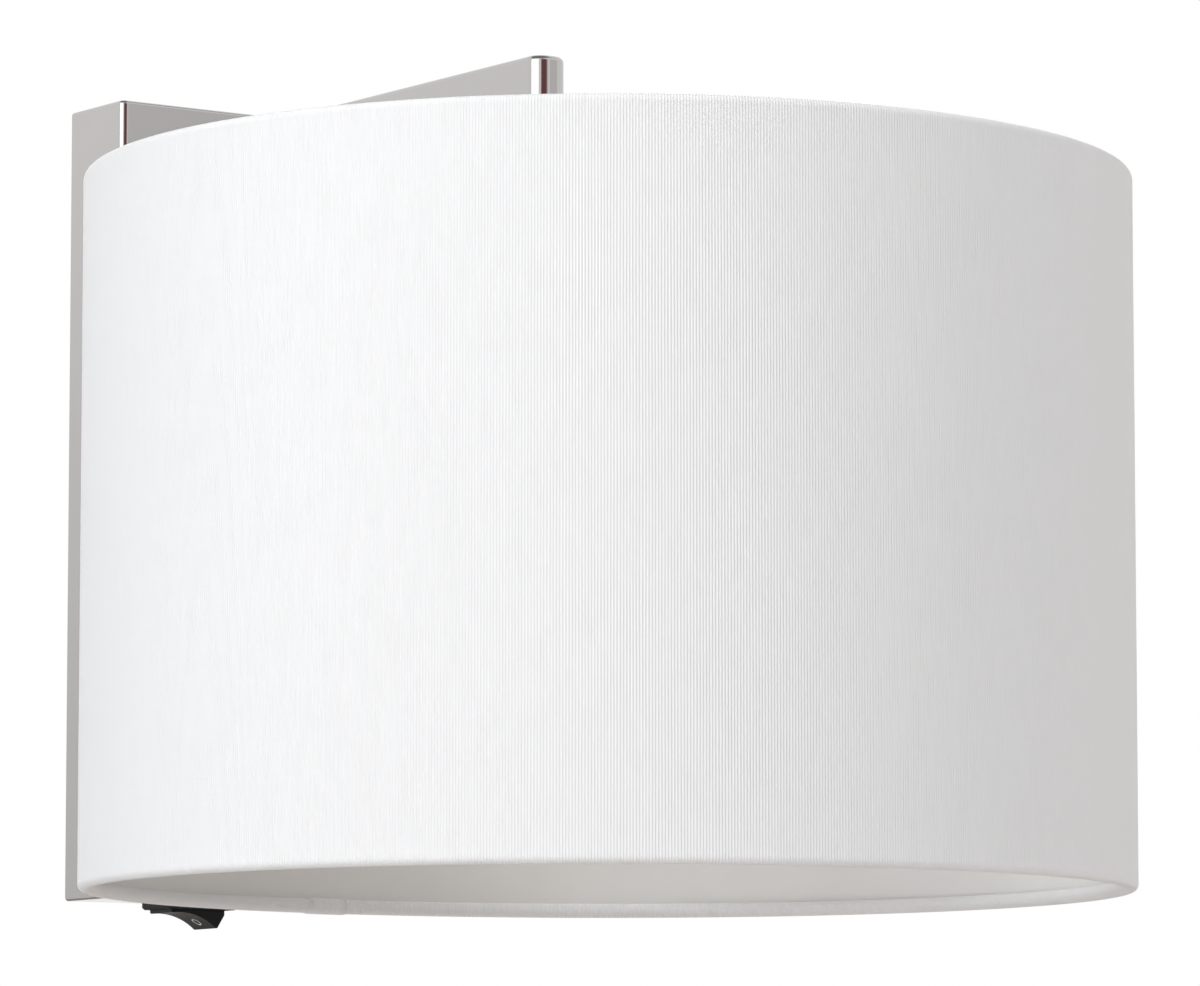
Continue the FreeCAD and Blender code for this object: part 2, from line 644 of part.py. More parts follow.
def arm_tube():
    tube = arm_envelope().cut(block(-ARM_WIDTH, ARM_WIDTH, PLUG_JOINT, ARM_END, ARM_BOTTOM, ARM_TOP))
    tube = tube.cut(arm_inside(BOX_FRONT + CUT_MARGIN, PLUG_JOINT - CUT_MARGIN))
    slot_end = PLUG_JOINT + ARM_SLOT_LENGTH
    half = GROOVE_WIDTH / 2
    low = ARM_BOTTOM - CUT_MARGIN
    high = ARM_BOTTOM + ARM_WALL + CUT_MARGIN
    tube = tube.cut(block(-half, half, PLUG_JOINT - CUT_MARGIN, slot_end, low, high))
    for y in carrier_screw_places():
        tube = tube.cut(drill(M4_CLEAR, V(0, y, ARM_BOTTOM), V(0, y, ARM_BOTTOM + ARM_WALL)))
    return tube


def arm_end_plug():
    plug = arm_envelope().cut(block(-ARM_WIDTH, ARM_WIDTH, PLUG_JOINT, BOX_FRONT, ARM_BOTTOM, ARM_TOP))
    spigot = arm_inside(PLUG_JOINT + SPIGOT_LENGTH, PLUG_JOINT, THREAD_GAP)
    floor = ARM_TOP - ARM_WALL - SPIGOT_HEIGHT
    spigot = spigot.cut(block(-ARM_WIDTH, ARM_WIDTH, BOX_FRONT, ARM_END, ARM_BOTTOM, floor))
    return fuse(plug, spigot)


def arm_root_block():
    body = arm_inside(BOX_FRONT, BOX_FRONT - ROOT_BLOCK_LENGTH, THREAD_GAP)
    bore = V(0, BOX_FRONT, ARM_MIDDLE)
    body = body.cut(drill(ROOT_BORE, bore, bore - ALONG_Y * ROOT_BLOCK_LENGTH))
    for z in pair(ARM_SCREW_SPREAD):
        start = bore + ALONG_Z * z
        body = body.cut(drill(M4, start, start - ALONG_Y * ROOT_BLOCK_LENGTH))
    return body


def arm_backing_plate():
    half = BACKING_WIDTH / 2
    low, high = (ARM_MIDDLE + z for z in pair(BACKING_HEIGHT))
    high = min(high, INNER_TOP - FIT)
    plate = block(-half, half, INNER_FRONT, INNER_FRONT + BACKING_SHEET, low, high)
    centre = V(0, INNER_FRONT, ARM_MIDDLE)
    plate = plate.cut(drill(ROOT_BORE, centre, centre + ALONG_Y * BACKING_SHEET))
    for z in pair(ARM_SCREW_SPREAD):
        start = centre + ALONG_Z * z
        plate = plate.cut(drill(M4_CLEAR, start, start + ALONG_Y * BACKING_SHEET))
    return plate


def arm_screws():
    seats = [V(0, INNER_FRONT + BACKING_SHEET, ARM_MIDDLE + z) for z in pair(ARM_SCREW_SPREAD)]
    return group([screw(M4, ARM_SCREW_LENGTH, M4_HEAD, M4_HEAD_HEIGHT, s, -ALONG_Y) for s in seats])


# ---- carrier -------------------------------------------------------------------------------------
def carrier_screw_places():
    return [AXIS_Y + setback for setback in CARRIER_SCREW_SETBACKS]


def holder_carrier():
    """A cast bar under the arm with an eye round the nipple and a groove for the two leads."""
    half = ARM_WIDTH / 2
    bar = block(-half, half, AXIS_Y, AXIS_Y + CARRIER_TAIL, CARRIER_BOTTOM, ARM_BOTTOM)
    eye = Part.makeCylinder(EYE_RADIUS, CARRIER_HEIGHT, V(0, AXIS_Y, CARRIER_BOTTOM))
    body = fuse(bar, eye)
    lower = edges_where(body, lambda p: near(p.z, CARRIER_BOTTOM))
    body = body.makeChamfer(CARRIER_EDGE, lower)
    pocket = Part.makeCylinder(POCKET_RADIUS, GROOVE_DEPTH + CUT_MARGIN, V(0, AXIS_Y, GROOVE_FLOOR))
    wide = GROOVE_WIDTH / 2
    groove = block(-wide, wide, AXIS_Y, AXIS_Y + GROOVE_START, GROOVE_FLOOR, ARM_BOTTOM + CUT_MARGIN)
    bore = drill(2 * (NIPPLE_RADIUS + THREAD_GAP), V(0, AXIS_Y, CARRIER_BOTTOM), V(0, AXIS_Y, GROOVE_FLOOR))
    body = cut(body, fuse(pocket, groove), bore)
    for y in carrier_screw_places():
        body = body.cut(drill(M4_CLEAR, V(0, y, CARRIER_BOTTOM), V(0, y, ARM_BOTTOM)))
        seat = V(0, y, CARRIER_BOTTOM + COUNTERBORE_DEPTH)
        body = body.cut(rod(M4_HEAD / 2 + FIT, seat - ALONG_Z * (COUNTERBORE_DEPTH + CUT_MARGIN), seat))
    return body


def carrier_screws():
    seats = [V(0, y, CARRIER_BOTTOM + COUNTERBORE_DEPTH) for y in carrier_screw_places()]
    length = CARRIER_HEIGHT - COUNTERBORE_DEPTH + ARM_WALL + NUT_STRIP_HEIGHT
    return group([screw(M4, length, M4_HEAD, M4_HEAD_HEIGHT, s, ALONG_Z) for s in seats])


def carrier_nut_strip():
    half = ARM_WIDTH / 2 - ARM_WALL - FIT
    middle = sum(carrier_screw_places()) / len(CARRIER_SCREW_SETBACKS)
    bottom = ARM_BOTTOM + ARM_WALL
    low, high = (middle + y for y in pair(NUT_STRIP_LENGTH))
    strip = block(-half, half, low, high, bottom, bottom + NUT_STRIP_HEIGHT)
    for y in carrier_screw_places():
        strip = strip.cut(drill(M4, V(0, y, bottom), V(0, y, bottom + NUT_STRIP_HEIGHT)))
    lower = edges_where(strip, lambda p: near(p.z, bottom))
    lower = [e for e in lower if near(e.BoundBox.YLength, NUT_STRIP_LENGTH)]
    return strip.makeChamfer(ARM_EDGE_ROUND - ARM_WALL, lower)


def carrier_cover():
    """A thin lid over the groove and the eye past the arm's end, with a half-round lip in the eye."""
    half = ARM_WIDTH / 2
    top = ARM_BOTTOM + COVER_SHEET
    lid = Part.makeCylinder(EYE_RADIUS, COVER_SHEET, V(0, AXIS_Y, ARM_BOTTOM))
    lid = fuse(lid, block(-half, half, AXIS_Y, ARM_END - FIT, ARM_BOTTOM, top))
    outer = POCKET_RADIUS - THREAD_GAP
    lip = tube_upright(outer, outer - COVER_LIP_WALL, ARM_BOTTOM - COVER_LIP_DEPTH, ARM_BOTTOM)
    lip = lip.cut(block(-EYE_RADIUS, EYE_RADIUS, AXIS_Y, AXIS_Y + EYE_RADIUS, CARRIER_BOTTOM, top))
    lid = fuse(lid, lip)
    return lid.makeChamfer(COVER_CHAMFER, edges_where(lid, lambda p: near(p.z, top)))


# ---- lampholder ----------------------------------------------------------------------------------
def nipple():
    top = GROOVE_FLOOR + NUT_HEIGHT + NIPPLE_ABOVE_NUT
    return tube_upright(NIPPLE_RADIUS, NIPPLE_BORE, CARRIER_BOTTOM - NIPPLE_INTO_CAP, top)


def nipple_nut():
    corner = NUT_FLATS / 2 / math.cos(math.pi / 6)
    points = [
        V(corner * math.cos(k * math.pi / 3), AXIS_Y + corner * math.sin(k * math.pi / 3), GROOVE_FLOOR)
        for k in range(7)
    ]
    nut = Part.Face(Part.makePolygon(points)).extrude(V(0, 0, NUT_HEIGHT))
    return nut.cut(Part.makeCylinder(NIPPLE_RADIUS + THREAD_GAP, NUT_HEIGHT, V(0, AXIS_Y, GROOVE_FLOOR)))


def holder_cap():
    neck_bottom = CARRIER_BOTTOM - NECK_HEIGHT
    shoulder = neck_bottom - CAP_SHOULDER
    inner = CAP_RADIUS - HOLDER_WALL
    inner_neck = NECK_RADIUS - HOLDER_WALL
    bore = NIPPLE_RADIUS + THREAD_GAP
    return turned(
        [
            (bore, CARRIER_BOTTOM),
            (NECK_RADIUS, CARRIER_BOTTOM),
            (NECK_RADIUS, neck_bottom),
            (CAP_RADIUS - CAP_BEVEL, shoulder + CAP_BEVEL),
            (CAP_RADIUS, shoulder),
            (CAP_RADIUS, CAP_BOTTOM),
            (inner, CAP_BOTTOM),
            (inner, shoulder - HOLDER_WALL / 2),
            (inner_neck, neck_bottom - HOLDER_WALL),
            (bore, neck_bottom - HOLDER_WALL),
        ]
    )


def holder_skirt():
    spigot = CAP_RADIUS - HOLDER_WALL - THREAD_GAP
    seat = INSERT_RADIUS + THREAD_GAP
    return turned(
        [
            (seat, CAP_BOTTOM + SKIRT_SPIGOT),
            (spigot, CAP_BOTTOM + SKIRT_SPIGOT),
            (spigot, CAP_BOTTOM),
            (FLANGE_RADIUS, CAP_BOTTOM),
            (FLANGE_RADIUS, FLANGE_BOTTOM),
            (SKIRT_RADIUS, FLANGE_BOTTOM),
            (SKIRT_RADIUS, SKIRT_BOTTOM + SKIRT_LEAD_IN),
            (SKIRT_RADIUS - SKIRT_LEAD_IN, SKIRT_BOTTOM),
            (SKIRT_BORE + SKIRT_LEAD_IN, SKIRT_BOTTOM),
            (SKIRT_BORE, SKIRT_BOTTOM + SKIRT_LEAD_IN),
            (SKIRT_BORE, INSERT_BOTTOM),
            (seat, INSERT_BOTTOM),
        ]
    )


def holder_insert():
    body = turned(
        [
            (0, RECESS_TOP),
            (INSERT_RECESS_RADIUS, RECESS_TOP),
            (INSERT_RECESS_RADIUS, INSERT_BOTTOM),
            (INSERT_RADIUS, INSERT_BOTTOM),
            (INSERT_RADIUS, INSERT_TOP - INSERT_CHAMFER),
            (INSERT_RADIUS - INSERT_CHAMFER, INSERT_TOP),
            (0, INSERT_TOP),
        ]
    )
    return cut(body, *terminal_cubes(THREAD_GAP))


def terminal_cubes(gap):
    half = TERMINAL_BLOCK_SIZE / 2 + gap
    floor = INSERT_TOP - TERMINAL_BLOCK_SIZE
    return [
        block(x - half, x + half, AXIS_Y - half, AXIS_Y + half, floor, INSERT_TOP)
        for x in pair(HOLDER_TERMINAL_SPREAD)
    ]


def holder_terminals():
    cubes = []
    for x, cube in zip(pair(HOLDER_TERMINAL_SPREAD), terminal_cubes(0)):
        top = V(x, AXIS_Y, INSERT_TOP)
        cubes.append(cube.cut(rod(LEAD_RADIUS + THREAD_GAP, top - ALONG_Z * LEAD_INTO_TERMINAL, top)))
    return group(cubes)


def thread_sleeve():
    foot = INSERT_BOTTOM - SLEEVE_LENGTH
    return tube_upright(SLEEVE_BORE + SLEEVE_WALL, SLEEVE_BORE, foot, INSERT_BOTTOM)


def centre_contact():
    """A bowed leaf whose ends lie on the roof of the insert's recess and whose middle meets the bulb."""
    half = LEAF_SPAN / 2
    under = RECESS_TOP - LEAF_SHEET
    outline = [
        Part.Arc(point_xz(-half, under), point_xz(0, LEAF_BOTTOM), point_xz(half, under)),
        Part.LineSegment(point_xz(half, under), point_xz(half, RECESS_TOP)),
        Part.Arc(point_xz(half, RECESS_TOP), point_xz(0, LEAF_BOTTOM + LEAF_SHEET), point_xz(-half, RECESS_TOP)),
        Part.LineSegment(point_xz(-half, RECESS_TOP), point_xz(-half, under)),
    ]
    face = Part.Face(Part.Wire([curve.toShape() for curve in outline]))
    leaf = face.extrude(V(0, LEAF_WIDTH, 0))
    leaf.translate(V(0, -LEAF_WIDTH / 2, 0))
    return leaf


def point_xz(x, z):
    return V(x, AXIS_Y, z)


# ---- shade ring and shade ------------------------------------------------------------------------
def shade_ring():
    bore = SKIRT_RADIUS + RING_RUNNING_GAP
    grip_bottom = RING_TOP - RING_FLANGE_HEIGHT - RING_GRIP_HEIGHT
    ring = turned(
        [
            (bore, RING_TOP),
            (RING_FLANGE_RADIUS, RING_TOP),
            (RING_FLANGE_RADIUS, RING_TOP - RING_FLANGE_HEIGHT),
            (RING_GRIP_RADIUS, RING_TOP - RING_FLANGE_HEIGHT),
            (RING_GRIP_RADIUS, grip_bottom + RING_GRIP_CHAMFER),
            (RING_GRIP_RADIUS - RING_GRIP_CHAMFER, grip_bottom),
            (bore, grip_bottom),
        ]
    )
    flutes = []
    for index in range(RING_FLUTES):
        angle = 2 * math.pi * index / RING_FLUTES
        outward = V(math.cos(angle), math.sin(angle), 0) * RING_GRIP_RADIUS
        foot = V(0, AXIS_Y, grip_bottom) + outward
        flutes.append(rod(RING_FLUTE_RADIUS, foot - ALONG_Z * CUT_MARGIN, foot + ALONG_Z * RING_GRIP_HEIGHT))
    return cut(ring, *flutes)


def shade_hub_ring():
    return tube_upright(HUB_RING_RADIUS, SKIRT_RADIUS + HUB_BORE_GAP, HUB_BOTTOM, FLANGE_BOTTOM)


def spoke(radius):
    """One spoke along X: flat on the hub ring, then bent up straight to the wire of the top rim."""
    start = V(SPOKE_START, 0, SPOKE_HEIGHT)
    corner = V(SPOKE_FLAT_END, 0, SPOKE_HEIGHT)
    end = V(RIM_CENTRE_RADIUS - RIM_WIRE_RADIUS - THREAD_GAP, 0, TOP_RIM_HEIGHT)
    rise = (end - corner).normalize()
    turn = rise.getAngle(ALONG_X)
    setback = SPOKE_BEND * math.tan(turn / 2)
    bend_in = corner - ALONG_X * setback
    bend_out = corner + rise * setback
    inward = (rise - ALONG_X).normalize()
    middle = corner + inward * (SPOKE_BEND / math.cos(turn / 2) - SPOKE_BEND)
    path = Part.Wire(
        [
            Part.LineSegment(start, bend_in).toShape(),
            Part.Arc(bend_in, middle, bend_out).toShape(),
            Part.LineSegment(bend_out, end).toShape(),
        ]
    )
    ring = Part.Wire(Part.Circle(start, ALONG_X, radius).toShape())
    return path.makePipeShell([ring], True, False)


def spoke_set(radius):
    spokes = []
    for index in range(SPOKE_COUNT):
        shape = spoke(radius)
        shape.rotate(V(0, 0, 0), ALONG_Z, FIRST_SPOKE_ANGLE + index * 360 / SPOKE_COUNT)
        shape.translate(V(0, AXIS_Y, 0))
        spokes.append(shape)
    return spokes


def bead_point(radius, angle, height, side):
    """A corner of a rim's many-sided bead, at an angle from the outside round under the wire."""
    return (RIM_CENTRE_RADIUS + radius * math.cos(angle), height - side * radius * math.sin(angle))


def rim_wire(height):
    radius = (RIM_WIRE_RADIUS - THREAD_GAP) * math.cos(math.pi / BEAD_SIDES)
    corners = [bead_point(radius, angle, height, 1) for angle in bead_angles(2 * math.pi)]
    return turned(corners[:-1])


def bead_angles(sweep):
    return [sweep * step / BEAD_SIDES for step in range(BEAD_SIDES + 1)]


def shade_fabric():
    """The outer cloth: one sheet rolled inward round the wire of each rim and tucked in."""
    bead = RIM_WIRE_RADIUS + FABRIC_WALL
    tuck = math.acos((LINING_INSIDE - THREAD_GAP - RIM_CENTRE_RADIUS) / bead)
    angles = bead_angles(2 * math.pi - tuck)
    bottom_roll = [bead_point(bead, angle, BOTTOM_RIM_HEIGHT, 1) for angle in angles]
    bottom_back = [bead_point(RIM_WIRE_RADIUS, angle, BOTTOM_RIM_HEIGHT, 1) for angle in reversed(angles)]
    top_roll = [bead_point(RIM_WIRE_RADIUS, angle, TOP_RIM_HEIGHT, -1) for angle in angles]
    top_back = [bead_point(bead, angle, TOP_RIM_HEIGHT, -1) for angle in reversed(angles)]
    return cut(turned(bottom_roll + bottom_back + top_roll + top_back), *spoke_set(SPOKE_RADIUS + FIT))


def shade_lining():
    bottom = BOTTOM_RIM_HEIGHT + LINING_RIM_SETBACK
    return tube_upright(LINING_OUTSIDE, LINING_INSIDE, bottom, TOP_RIM_HEIGHT - LINING_RIM_SETBACK)


# ---- bulb ----------------------------------------------------------------------------------------
def bulb_cap():
    radius = SLEEVE_BORE - BULB_CAP_GAP
    return turned(
        [
            (0, BULB_CAP_BOTTOM),
            (radius, BULB_CAP_BOTTOM),
            (radius, BULB_CAP_TOP - BULB_CAP_ROUND),
            (radius - BULB_CAP_ROUND, BULB_CAP_TOP),
            (0, BULB_CAP_TOP),
        ]
    )


def bulb_insulator():
    top = BULB_CAP_TOP + BULB_INSULATOR_HEIGHT
    foot = (BULB_INSULATOR_RADIUS, BULB_CAP_TOP)
    return turned([(0, BULB_CAP_TOP), foot, (BULB_INSULATOR_TOP_RADIUS, top), (0, top)])


def bulb_contact():
    low = BULB_CAP_TOP + BULB_INSULATOR_HEIGHT
    return turned([(0, low), (BULB_CONTACT_RADIUS, low), crown(BULB_CONTACT_RADIUS, low, BULB_TIP)])


def bulb_collar():
    """The pale collar that flares from the screw cap to the dome."""
    steps = zip(BULB_COLLAR_RADII, BULB_COLLAR_DROPS)
    flare = [(radius, BULB_CAP_BOTTOM - drop) for radius, drop in steps]
    return turned([(0, BULB_CAP_BOTTOM), *flare, (0, BULB_COLLAR_BOTTOM)])


def bulb_dome():
    above_centre = BULB_COLLAR_BOTTOM - BULB_BOTTOM - BULB_RADIUS
    rim = math.sqrt(BULB_RADIUS**2 - above_centre**2)
    dome = crown(rim, BULB_COLLAR_BOTTOM, BULB_BOTTOM)
    return turned([(0, BULB_COLLAR_BOTTOM), (rim, BULB_COLLAR_BOTTOM), dome])


# ---- rocker switch -------------------------------------------------------------------------------
def switch_outline(gap, low, high):
    half_length = SWITCH_LENGTH / 2 + gap
    half_width = SWITCH_WIDTH / 2 + gap
    return block(-half_length, half_length, SWITCH_Y - half_width, SWITCH_Y + half_width, low, high)


def switch_body():
    """The moulded housing: a bezel outside the box's floor and a well that the rocker swings in."""
    half_length = BEZEL_LENGTH / 2
    half_width = BEZEL_WIDTH / 2
    low = BOX_BOTTOM - BEZEL_HEIGHT
    bezel = block(-half_length, half_length, SWITCH_Y - half_width, SWITCH_Y + half_width, low, BOX_BOTTOM)
    uprights = [e for e in bezel.Edges if near(e.BoundBox.ZLength, BEZEL_HEIGHT)]
    bezel = bezel.makeFillet(BEZEL_CORNER, uprights)
    bezel = bezel.makeChamfer(BEZEL_CHAMFER, [e for e in bezel.Edges if near(e.BoundBox.ZMax, low)])
    body = fuse(bezel, switch_outline(0, BOX_BOTTOM, SWITCH_TOP))
    well_half = ROCKER_WIDTH / 2 + FIT
    reach = ROCKER_WELL_LENGTH / 2
    under = low - CUT_MARGIN
    body = body.cut(block(-reach, reach, SWITCH_Y - well_half, SWITCH_Y + well_half, under, WELL_TOP))
    trunnion = TRUNNION_RADIUS + TRUNNION_GAP
    pivot = V(0, SWITCH_Y, PIVOT_HEIGHT)
    reach_y = ALONG_Y * SWITCH_WIDTH
    return body.cut(rod(trunnion, pivot - reach_y, pivot + reach_y))


def switch_rocker():
    """The rocker with its dished face, turned about its trunnions to the side that is pressed in."""
    tip = (ROCKER_TIP_REACH, -ROCKER_TIP_HEIGHT)
    flank = (ROCKER_FLANK_REACH, -ROCKER_FLANK_HEIGHT)
    heel = (ROCKER_HEEL_REACH, ROCKER_HEEL_HEIGHT)
    back = (ROCKER_BACK_REACH, ROCKER_BACK_DEPTH)
    right = [at_pivot(p) for p in (tip, flank, heel, back)]
    left = [at_pivot((-p[0], p[1])) for p in (back, heel, flank, tip)]
    outline = right + left
    edges = [Part.LineSegment(a, b).toShape() for a, b in zip(outline, outline[1:])]
    dish = at_pivot((0, -ROCKER_TIP_HEIGHT + ROCKER_DISH))
    edges.append(Part.Arc(left[-1], dish, right[0]).toShape())
    body = Part.Face(Part.Wire(edges)).extrude(V(0, ROCKER_WIDTH, 0))
    body.translate(V(0, -ROCKER_WIDTH / 2, 0))
    across = [e for e in body.Edges if near(e.BoundBox.YLength, ROCKER_WIDTH)]
    tips = [e for e in across if near(e.BoundBox.ZMin, right[0].z)]
    body = body.makeFillet(ROCKER_TIP_ROUND, tips)
    pivot = V(0, SWITCH_Y, PIVOT_HEIGHT)
    half = ALONG_Y * (ROCKER_WIDTH / 2 + TRUNNION_LENGTH)
    body = fuse(body, rod(TRUNNION_RADIUS, pivot - half, pivot + half))
    body.rotate(pivot, ALONG_Y, ROCKER_TILT)
    return body


def at_pivot(point):
    return V(point[0], SWITCH_Y, PIVOT_HEIGHT + point[1])


def switch_blades():
    blades = []
    for x in pair(BLADE_SPREAD):
        blades.append(
            block(
                x - BLADE_SHEET / 2,
                x + BLADE_SHEET / 2,
                SWITCH_Y - BLADE_WIDTH / 2,
                SWITCH_Y + BLADE_WIDTH / 2,
                SWITCH_TOP,
                BLADE_TOP,
            )
        )
    return group(blades)


# ---- leads ---------------------------------------------------------------------------------------
def stations(places):
    return [V(x, -from_wall, height) for x, from_wall, height in places]


def arm_route(x, end_x):
    """The shared way of a lamp lead: into the arm, down its slot, over the groove, down the nipple."""
    low = ARM_BOTTOM - LEAD_UNDER_ARM
    return [
        V(x, -LEAD_DEPTH, ARM_MIDDLE),
        *[V(x, -from_wall, ARM_MIDDLE - sag) for from_wall, sag in ARM_STATIONS],
        V(x, PLUG_JOINT + ARM_SLOT_SETBACK, low),
        V(x, AXIS_Y - LEAD_REST_GAP, low - LEAD_REST_GAP),
        V(x, AXIS_Y, CARRIER_BOTTOM - NIPPLE_INTO_CAP - LEAD_UNDER_NIPPLE),
        V(end_x, AXIS_Y, INSERT_TOP + LEAD_OVER_TERMINAL),
        V(end_x, AXIS_Y, INSERT_TOP - LEAD_INTO_TERMINAL),
    ]


def lamp_neutral_lead():
    start = V(0, -BARREL_AXIS_DEPTH, BLOCK_TOP - CLAMP_END_GAP)
    route = arm_route(-LEAD_SPREAD, -HOLDER_TERMINAL_SPREAD / 2)
    return lead("lamp_neutral_lead", [start, *stations(NEUTRAL_STATIONS), *route])


def lamp_live_lead():
    start = V(BLADE_SPREAD / 2, SWITCH_Y, BLADE_TOP)
    route = arm_route(LEAD_SPREAD, HOLDER_TERMINAL_SPREAD / 2)
    rise = start + ALONG_Z * BLADE_LEAD_RISE
    return lead("lamp_live_lead", [start, rise, *stations(LIVE_STATIONS), *route])


def switch_feed_lead():
    start = V(-BLADE_SPREAD / 2, SWITCH_Y, BLADE_TOP)
    pole = pole_places()[0]
    points = [
        start,
        start + ALONG_Z * BLADE_LEAD_RISE,
        V(pole, -BARREL_AXIS_DEPTH, BLOCK_BOTTOM - BLOCK_LEAD_DROP),
        V(pole, -BARREL_AXIS_DEPTH, BLOCK_BOTTOM + CLAMP_END_GAP),
    ]
    return lead("switch_feed_lead", points)


def earth_lead():
    x, z = EARTH_SCREW_PLACE
    bend = V(*EARTH_LEAD_BEND)
    pole = pole_places()[-1]
    on_sheet = -BRACKET_SHEET - LEAD_RADIUS
    points = [
        V(pole, -BARREL_AXIS_DEPTH, BLOCK_BOTTOM + CLAMP_END_GAP),
        V(pole, -BARREL_AXIS_DEPTH, BLOCK_BOTTOM - EARTH_LEAD_DROP),
        V(x - bend.x, on_sheet - bend.y, z + bend.z),
        V(x, on_sheet - LEAD_REST_GAP, z + WASHER_DIAMETER / 2 + LEAD_REST_GAP),
    ]
    return lead("earth_lead", points)


# ---- every piece, one file each ------------------------------------------------------------------
PIECES = {
    "wall_bracket": wall_bracket,
    "cable_grommet": cable_grommet,
    "earth_screw": earth_screw,
    "earth_washer": earth_washer,
    "terminal_block": terminal_block,
    "terminal_clamps": terminal_clamps,
    "terminal_screws": terminal_screws,
    "block_screws": block_screws,
    "box_shell": box_shell,
    "shell_screws": shell_screws,
    "arm_tube": arm_tube,
    "arm_end_plug": arm_end_plug,
    "arm_root_block": arm_root_block,
    "arm_backing_plate": arm_backing_plate,
    "arm_screws": arm_screws,
    "holder_carrier": holder_carrier,
    "carrier_screws": carrier_screws,
    "carrier_nut_strip": carrier_nut_strip,
    "carrier_cover": carrier_cover,
    "nipple": nipple,
    "nipple_nut": nipple_nut,
    "holder_cap": holder_cap,
    "holder_skirt": holder_skirt,
    "holder_insert": holder_insert,
    "holder_terminals": holder_terminals,
    "thread_sleeve": thread_sleeve,
    "centre_contact": centre_contact,
    "shade_ring": shade_ring,
    "shade_hub_ring": shade_hub_ring,
    "shade_spokes": lambda: group(spoke_set(SPOKE_RADIUS)),
    "shade_top_wire": lambda: rim_wire(TOP_RIM_HEIGHT),
    "shade_bottom_wire": lambda: rim_wire(BOTTOM_RIM_HEIGHT),
    "shade_fabric": shade_fabric,
    "shade_lining": shade_lining,
    "bulb_cap": bulb_cap,
    "bulb_insulator": bulb_insulator,
    "bulb_contact": bulb_contact,
    "bulb_collar": bulb_collar,
    "bulb_dome": bulb_dome,
    "switch_body": switch_body,
    "switch_rocker": switch_rocker,
    "switch_blades": switch_blades,
    "lamp_neutral_lead": lamp_neutral_lead,
    "lamp_live_lead": lamp_live_lead,
    "switch_feed_lead": switch_feed_lead,
    "earth_lead": earth_lead,
}

os.makedirs("parts", exist_ok=True)
for name, make in PIECES.items():
    shape = make()
    if not shape.isValid():
        raise ValueError(f"{name} isn't a valid shape")
    shape.exportStep(f"parts/{name}.step")
    print(f"{name}: {len(shape.Solids)} solids, {shape.Volume:.0f} cubic mm")
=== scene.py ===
import math

import bmesh
import bpy
from bpy.props import FloatProperty, FloatVectorProperty, IntProperty, PointerProperty
from mathutils import Matrix, Vector, noise
from mathutils.bvhtree import BVHTree


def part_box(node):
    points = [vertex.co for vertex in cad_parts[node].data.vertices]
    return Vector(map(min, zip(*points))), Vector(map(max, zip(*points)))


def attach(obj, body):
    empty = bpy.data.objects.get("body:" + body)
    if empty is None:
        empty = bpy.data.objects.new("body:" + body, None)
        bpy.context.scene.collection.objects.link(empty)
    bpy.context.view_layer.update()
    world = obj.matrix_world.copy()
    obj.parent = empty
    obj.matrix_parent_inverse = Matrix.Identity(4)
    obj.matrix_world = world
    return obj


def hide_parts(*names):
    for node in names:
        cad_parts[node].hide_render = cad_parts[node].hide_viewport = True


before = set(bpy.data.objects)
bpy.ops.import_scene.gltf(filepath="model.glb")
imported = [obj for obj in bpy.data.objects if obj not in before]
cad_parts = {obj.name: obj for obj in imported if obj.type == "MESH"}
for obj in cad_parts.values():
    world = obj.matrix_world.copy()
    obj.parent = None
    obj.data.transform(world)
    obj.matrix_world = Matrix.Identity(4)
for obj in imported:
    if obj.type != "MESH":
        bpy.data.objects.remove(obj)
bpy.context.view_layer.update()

bl_info = {
    "name": "Wall light with a fabric drum shade",
    "version": (1, 0, 0),
    "blender": (4, 5, 0),
    "location": "View3D > Sidebar > Wall light",
    "description": (
        "Dresses the wall light's solids in cloth, polished metal and mouldings, and sets its studio"
    ),
    "category": "Object",
}

SHADE_LOW, SHADE_HIGH = (Vector(corner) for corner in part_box("shade_fabric"))
SHADE_AXIS = (SHADE_LOW + SHADE_HIGH) / 2
SHADE_RADIUS = (SHADE_HIGH.x - SHADE_LOW.x) / 2

# ---- fixed values, in metres and radians ---------------------------------------------------------
MERGE_DISTANCE = 1e-6

# The sockets of a colour Mix node.
MIX_SHARE, MIX_FIRST, MIX_SECOND = 0, 6, 7
MIX_RESULT = 2

# The range that a noise texture mostly keeps to.
NOISE_RANGE = (0.3, 0.7)

# The weave's noises: the rate across the ribs (per rib), the rate up them (per metre) and the seed.
WEAVE_NOISES = {
    "uneven": (0.9, 180, 1.7),
    "sway": (0.25, 24, 4.1),
    "cross": (0.08, 1900, 8.3),
    "slub": (0.45, 40, 12.9),
    "fade": (0.3, 110, 21.3),
}
THREAD_DETAIL = 1
# These set the weave's height, which also paints the cloth's colour: painted shade in the grooves, painted
# highlight on the rib tops and slubs.
RIB_SWAY = 1.6
RIB_MIDDLE = 0.35
RIB_STRENGTH = (0.17, 0.23)
SLUB_EDGE = (0.7, 0.8)
UNEVEN_HEIGHT = 0.05
CROSS_HEIGHT = 0.05
SLUB_HEIGHT = 0.08

# The cloth's section: the turn left open where the rolled cloth ends, the height over which the bead
# meets the wall, and the number of steps.
BEAD_TUCK = math.radians(64)
BEAD_RUN = 0.0005
BEAD_STEPS = 36
WALL_CUTS = 14
LAP_STEPS = 6
# The share of the cloth's thickness that the lap stands out by.
LAP_LIFT = 0.9
# The share of the bead's radius outside the wire within which the weave follows the bead.
BEAD_MAP_REACH = 0.95

# How far the cloth wanders, how fast, and how near the rims it also wanders finely.
CLOTH_WANDER = 0.00012
WIDE_RATE = (14, 9)
FINE_RATE = (90, 60)
WIDE_SHARE, FINE_SHARE, INWARD_SHARE = 0.6, 0.5, 0.5
RIM_ZONE = 0.004
# Faces nearer to a rim than this don't say which way the cloth faces.
RIM_MARGIN = 0.01

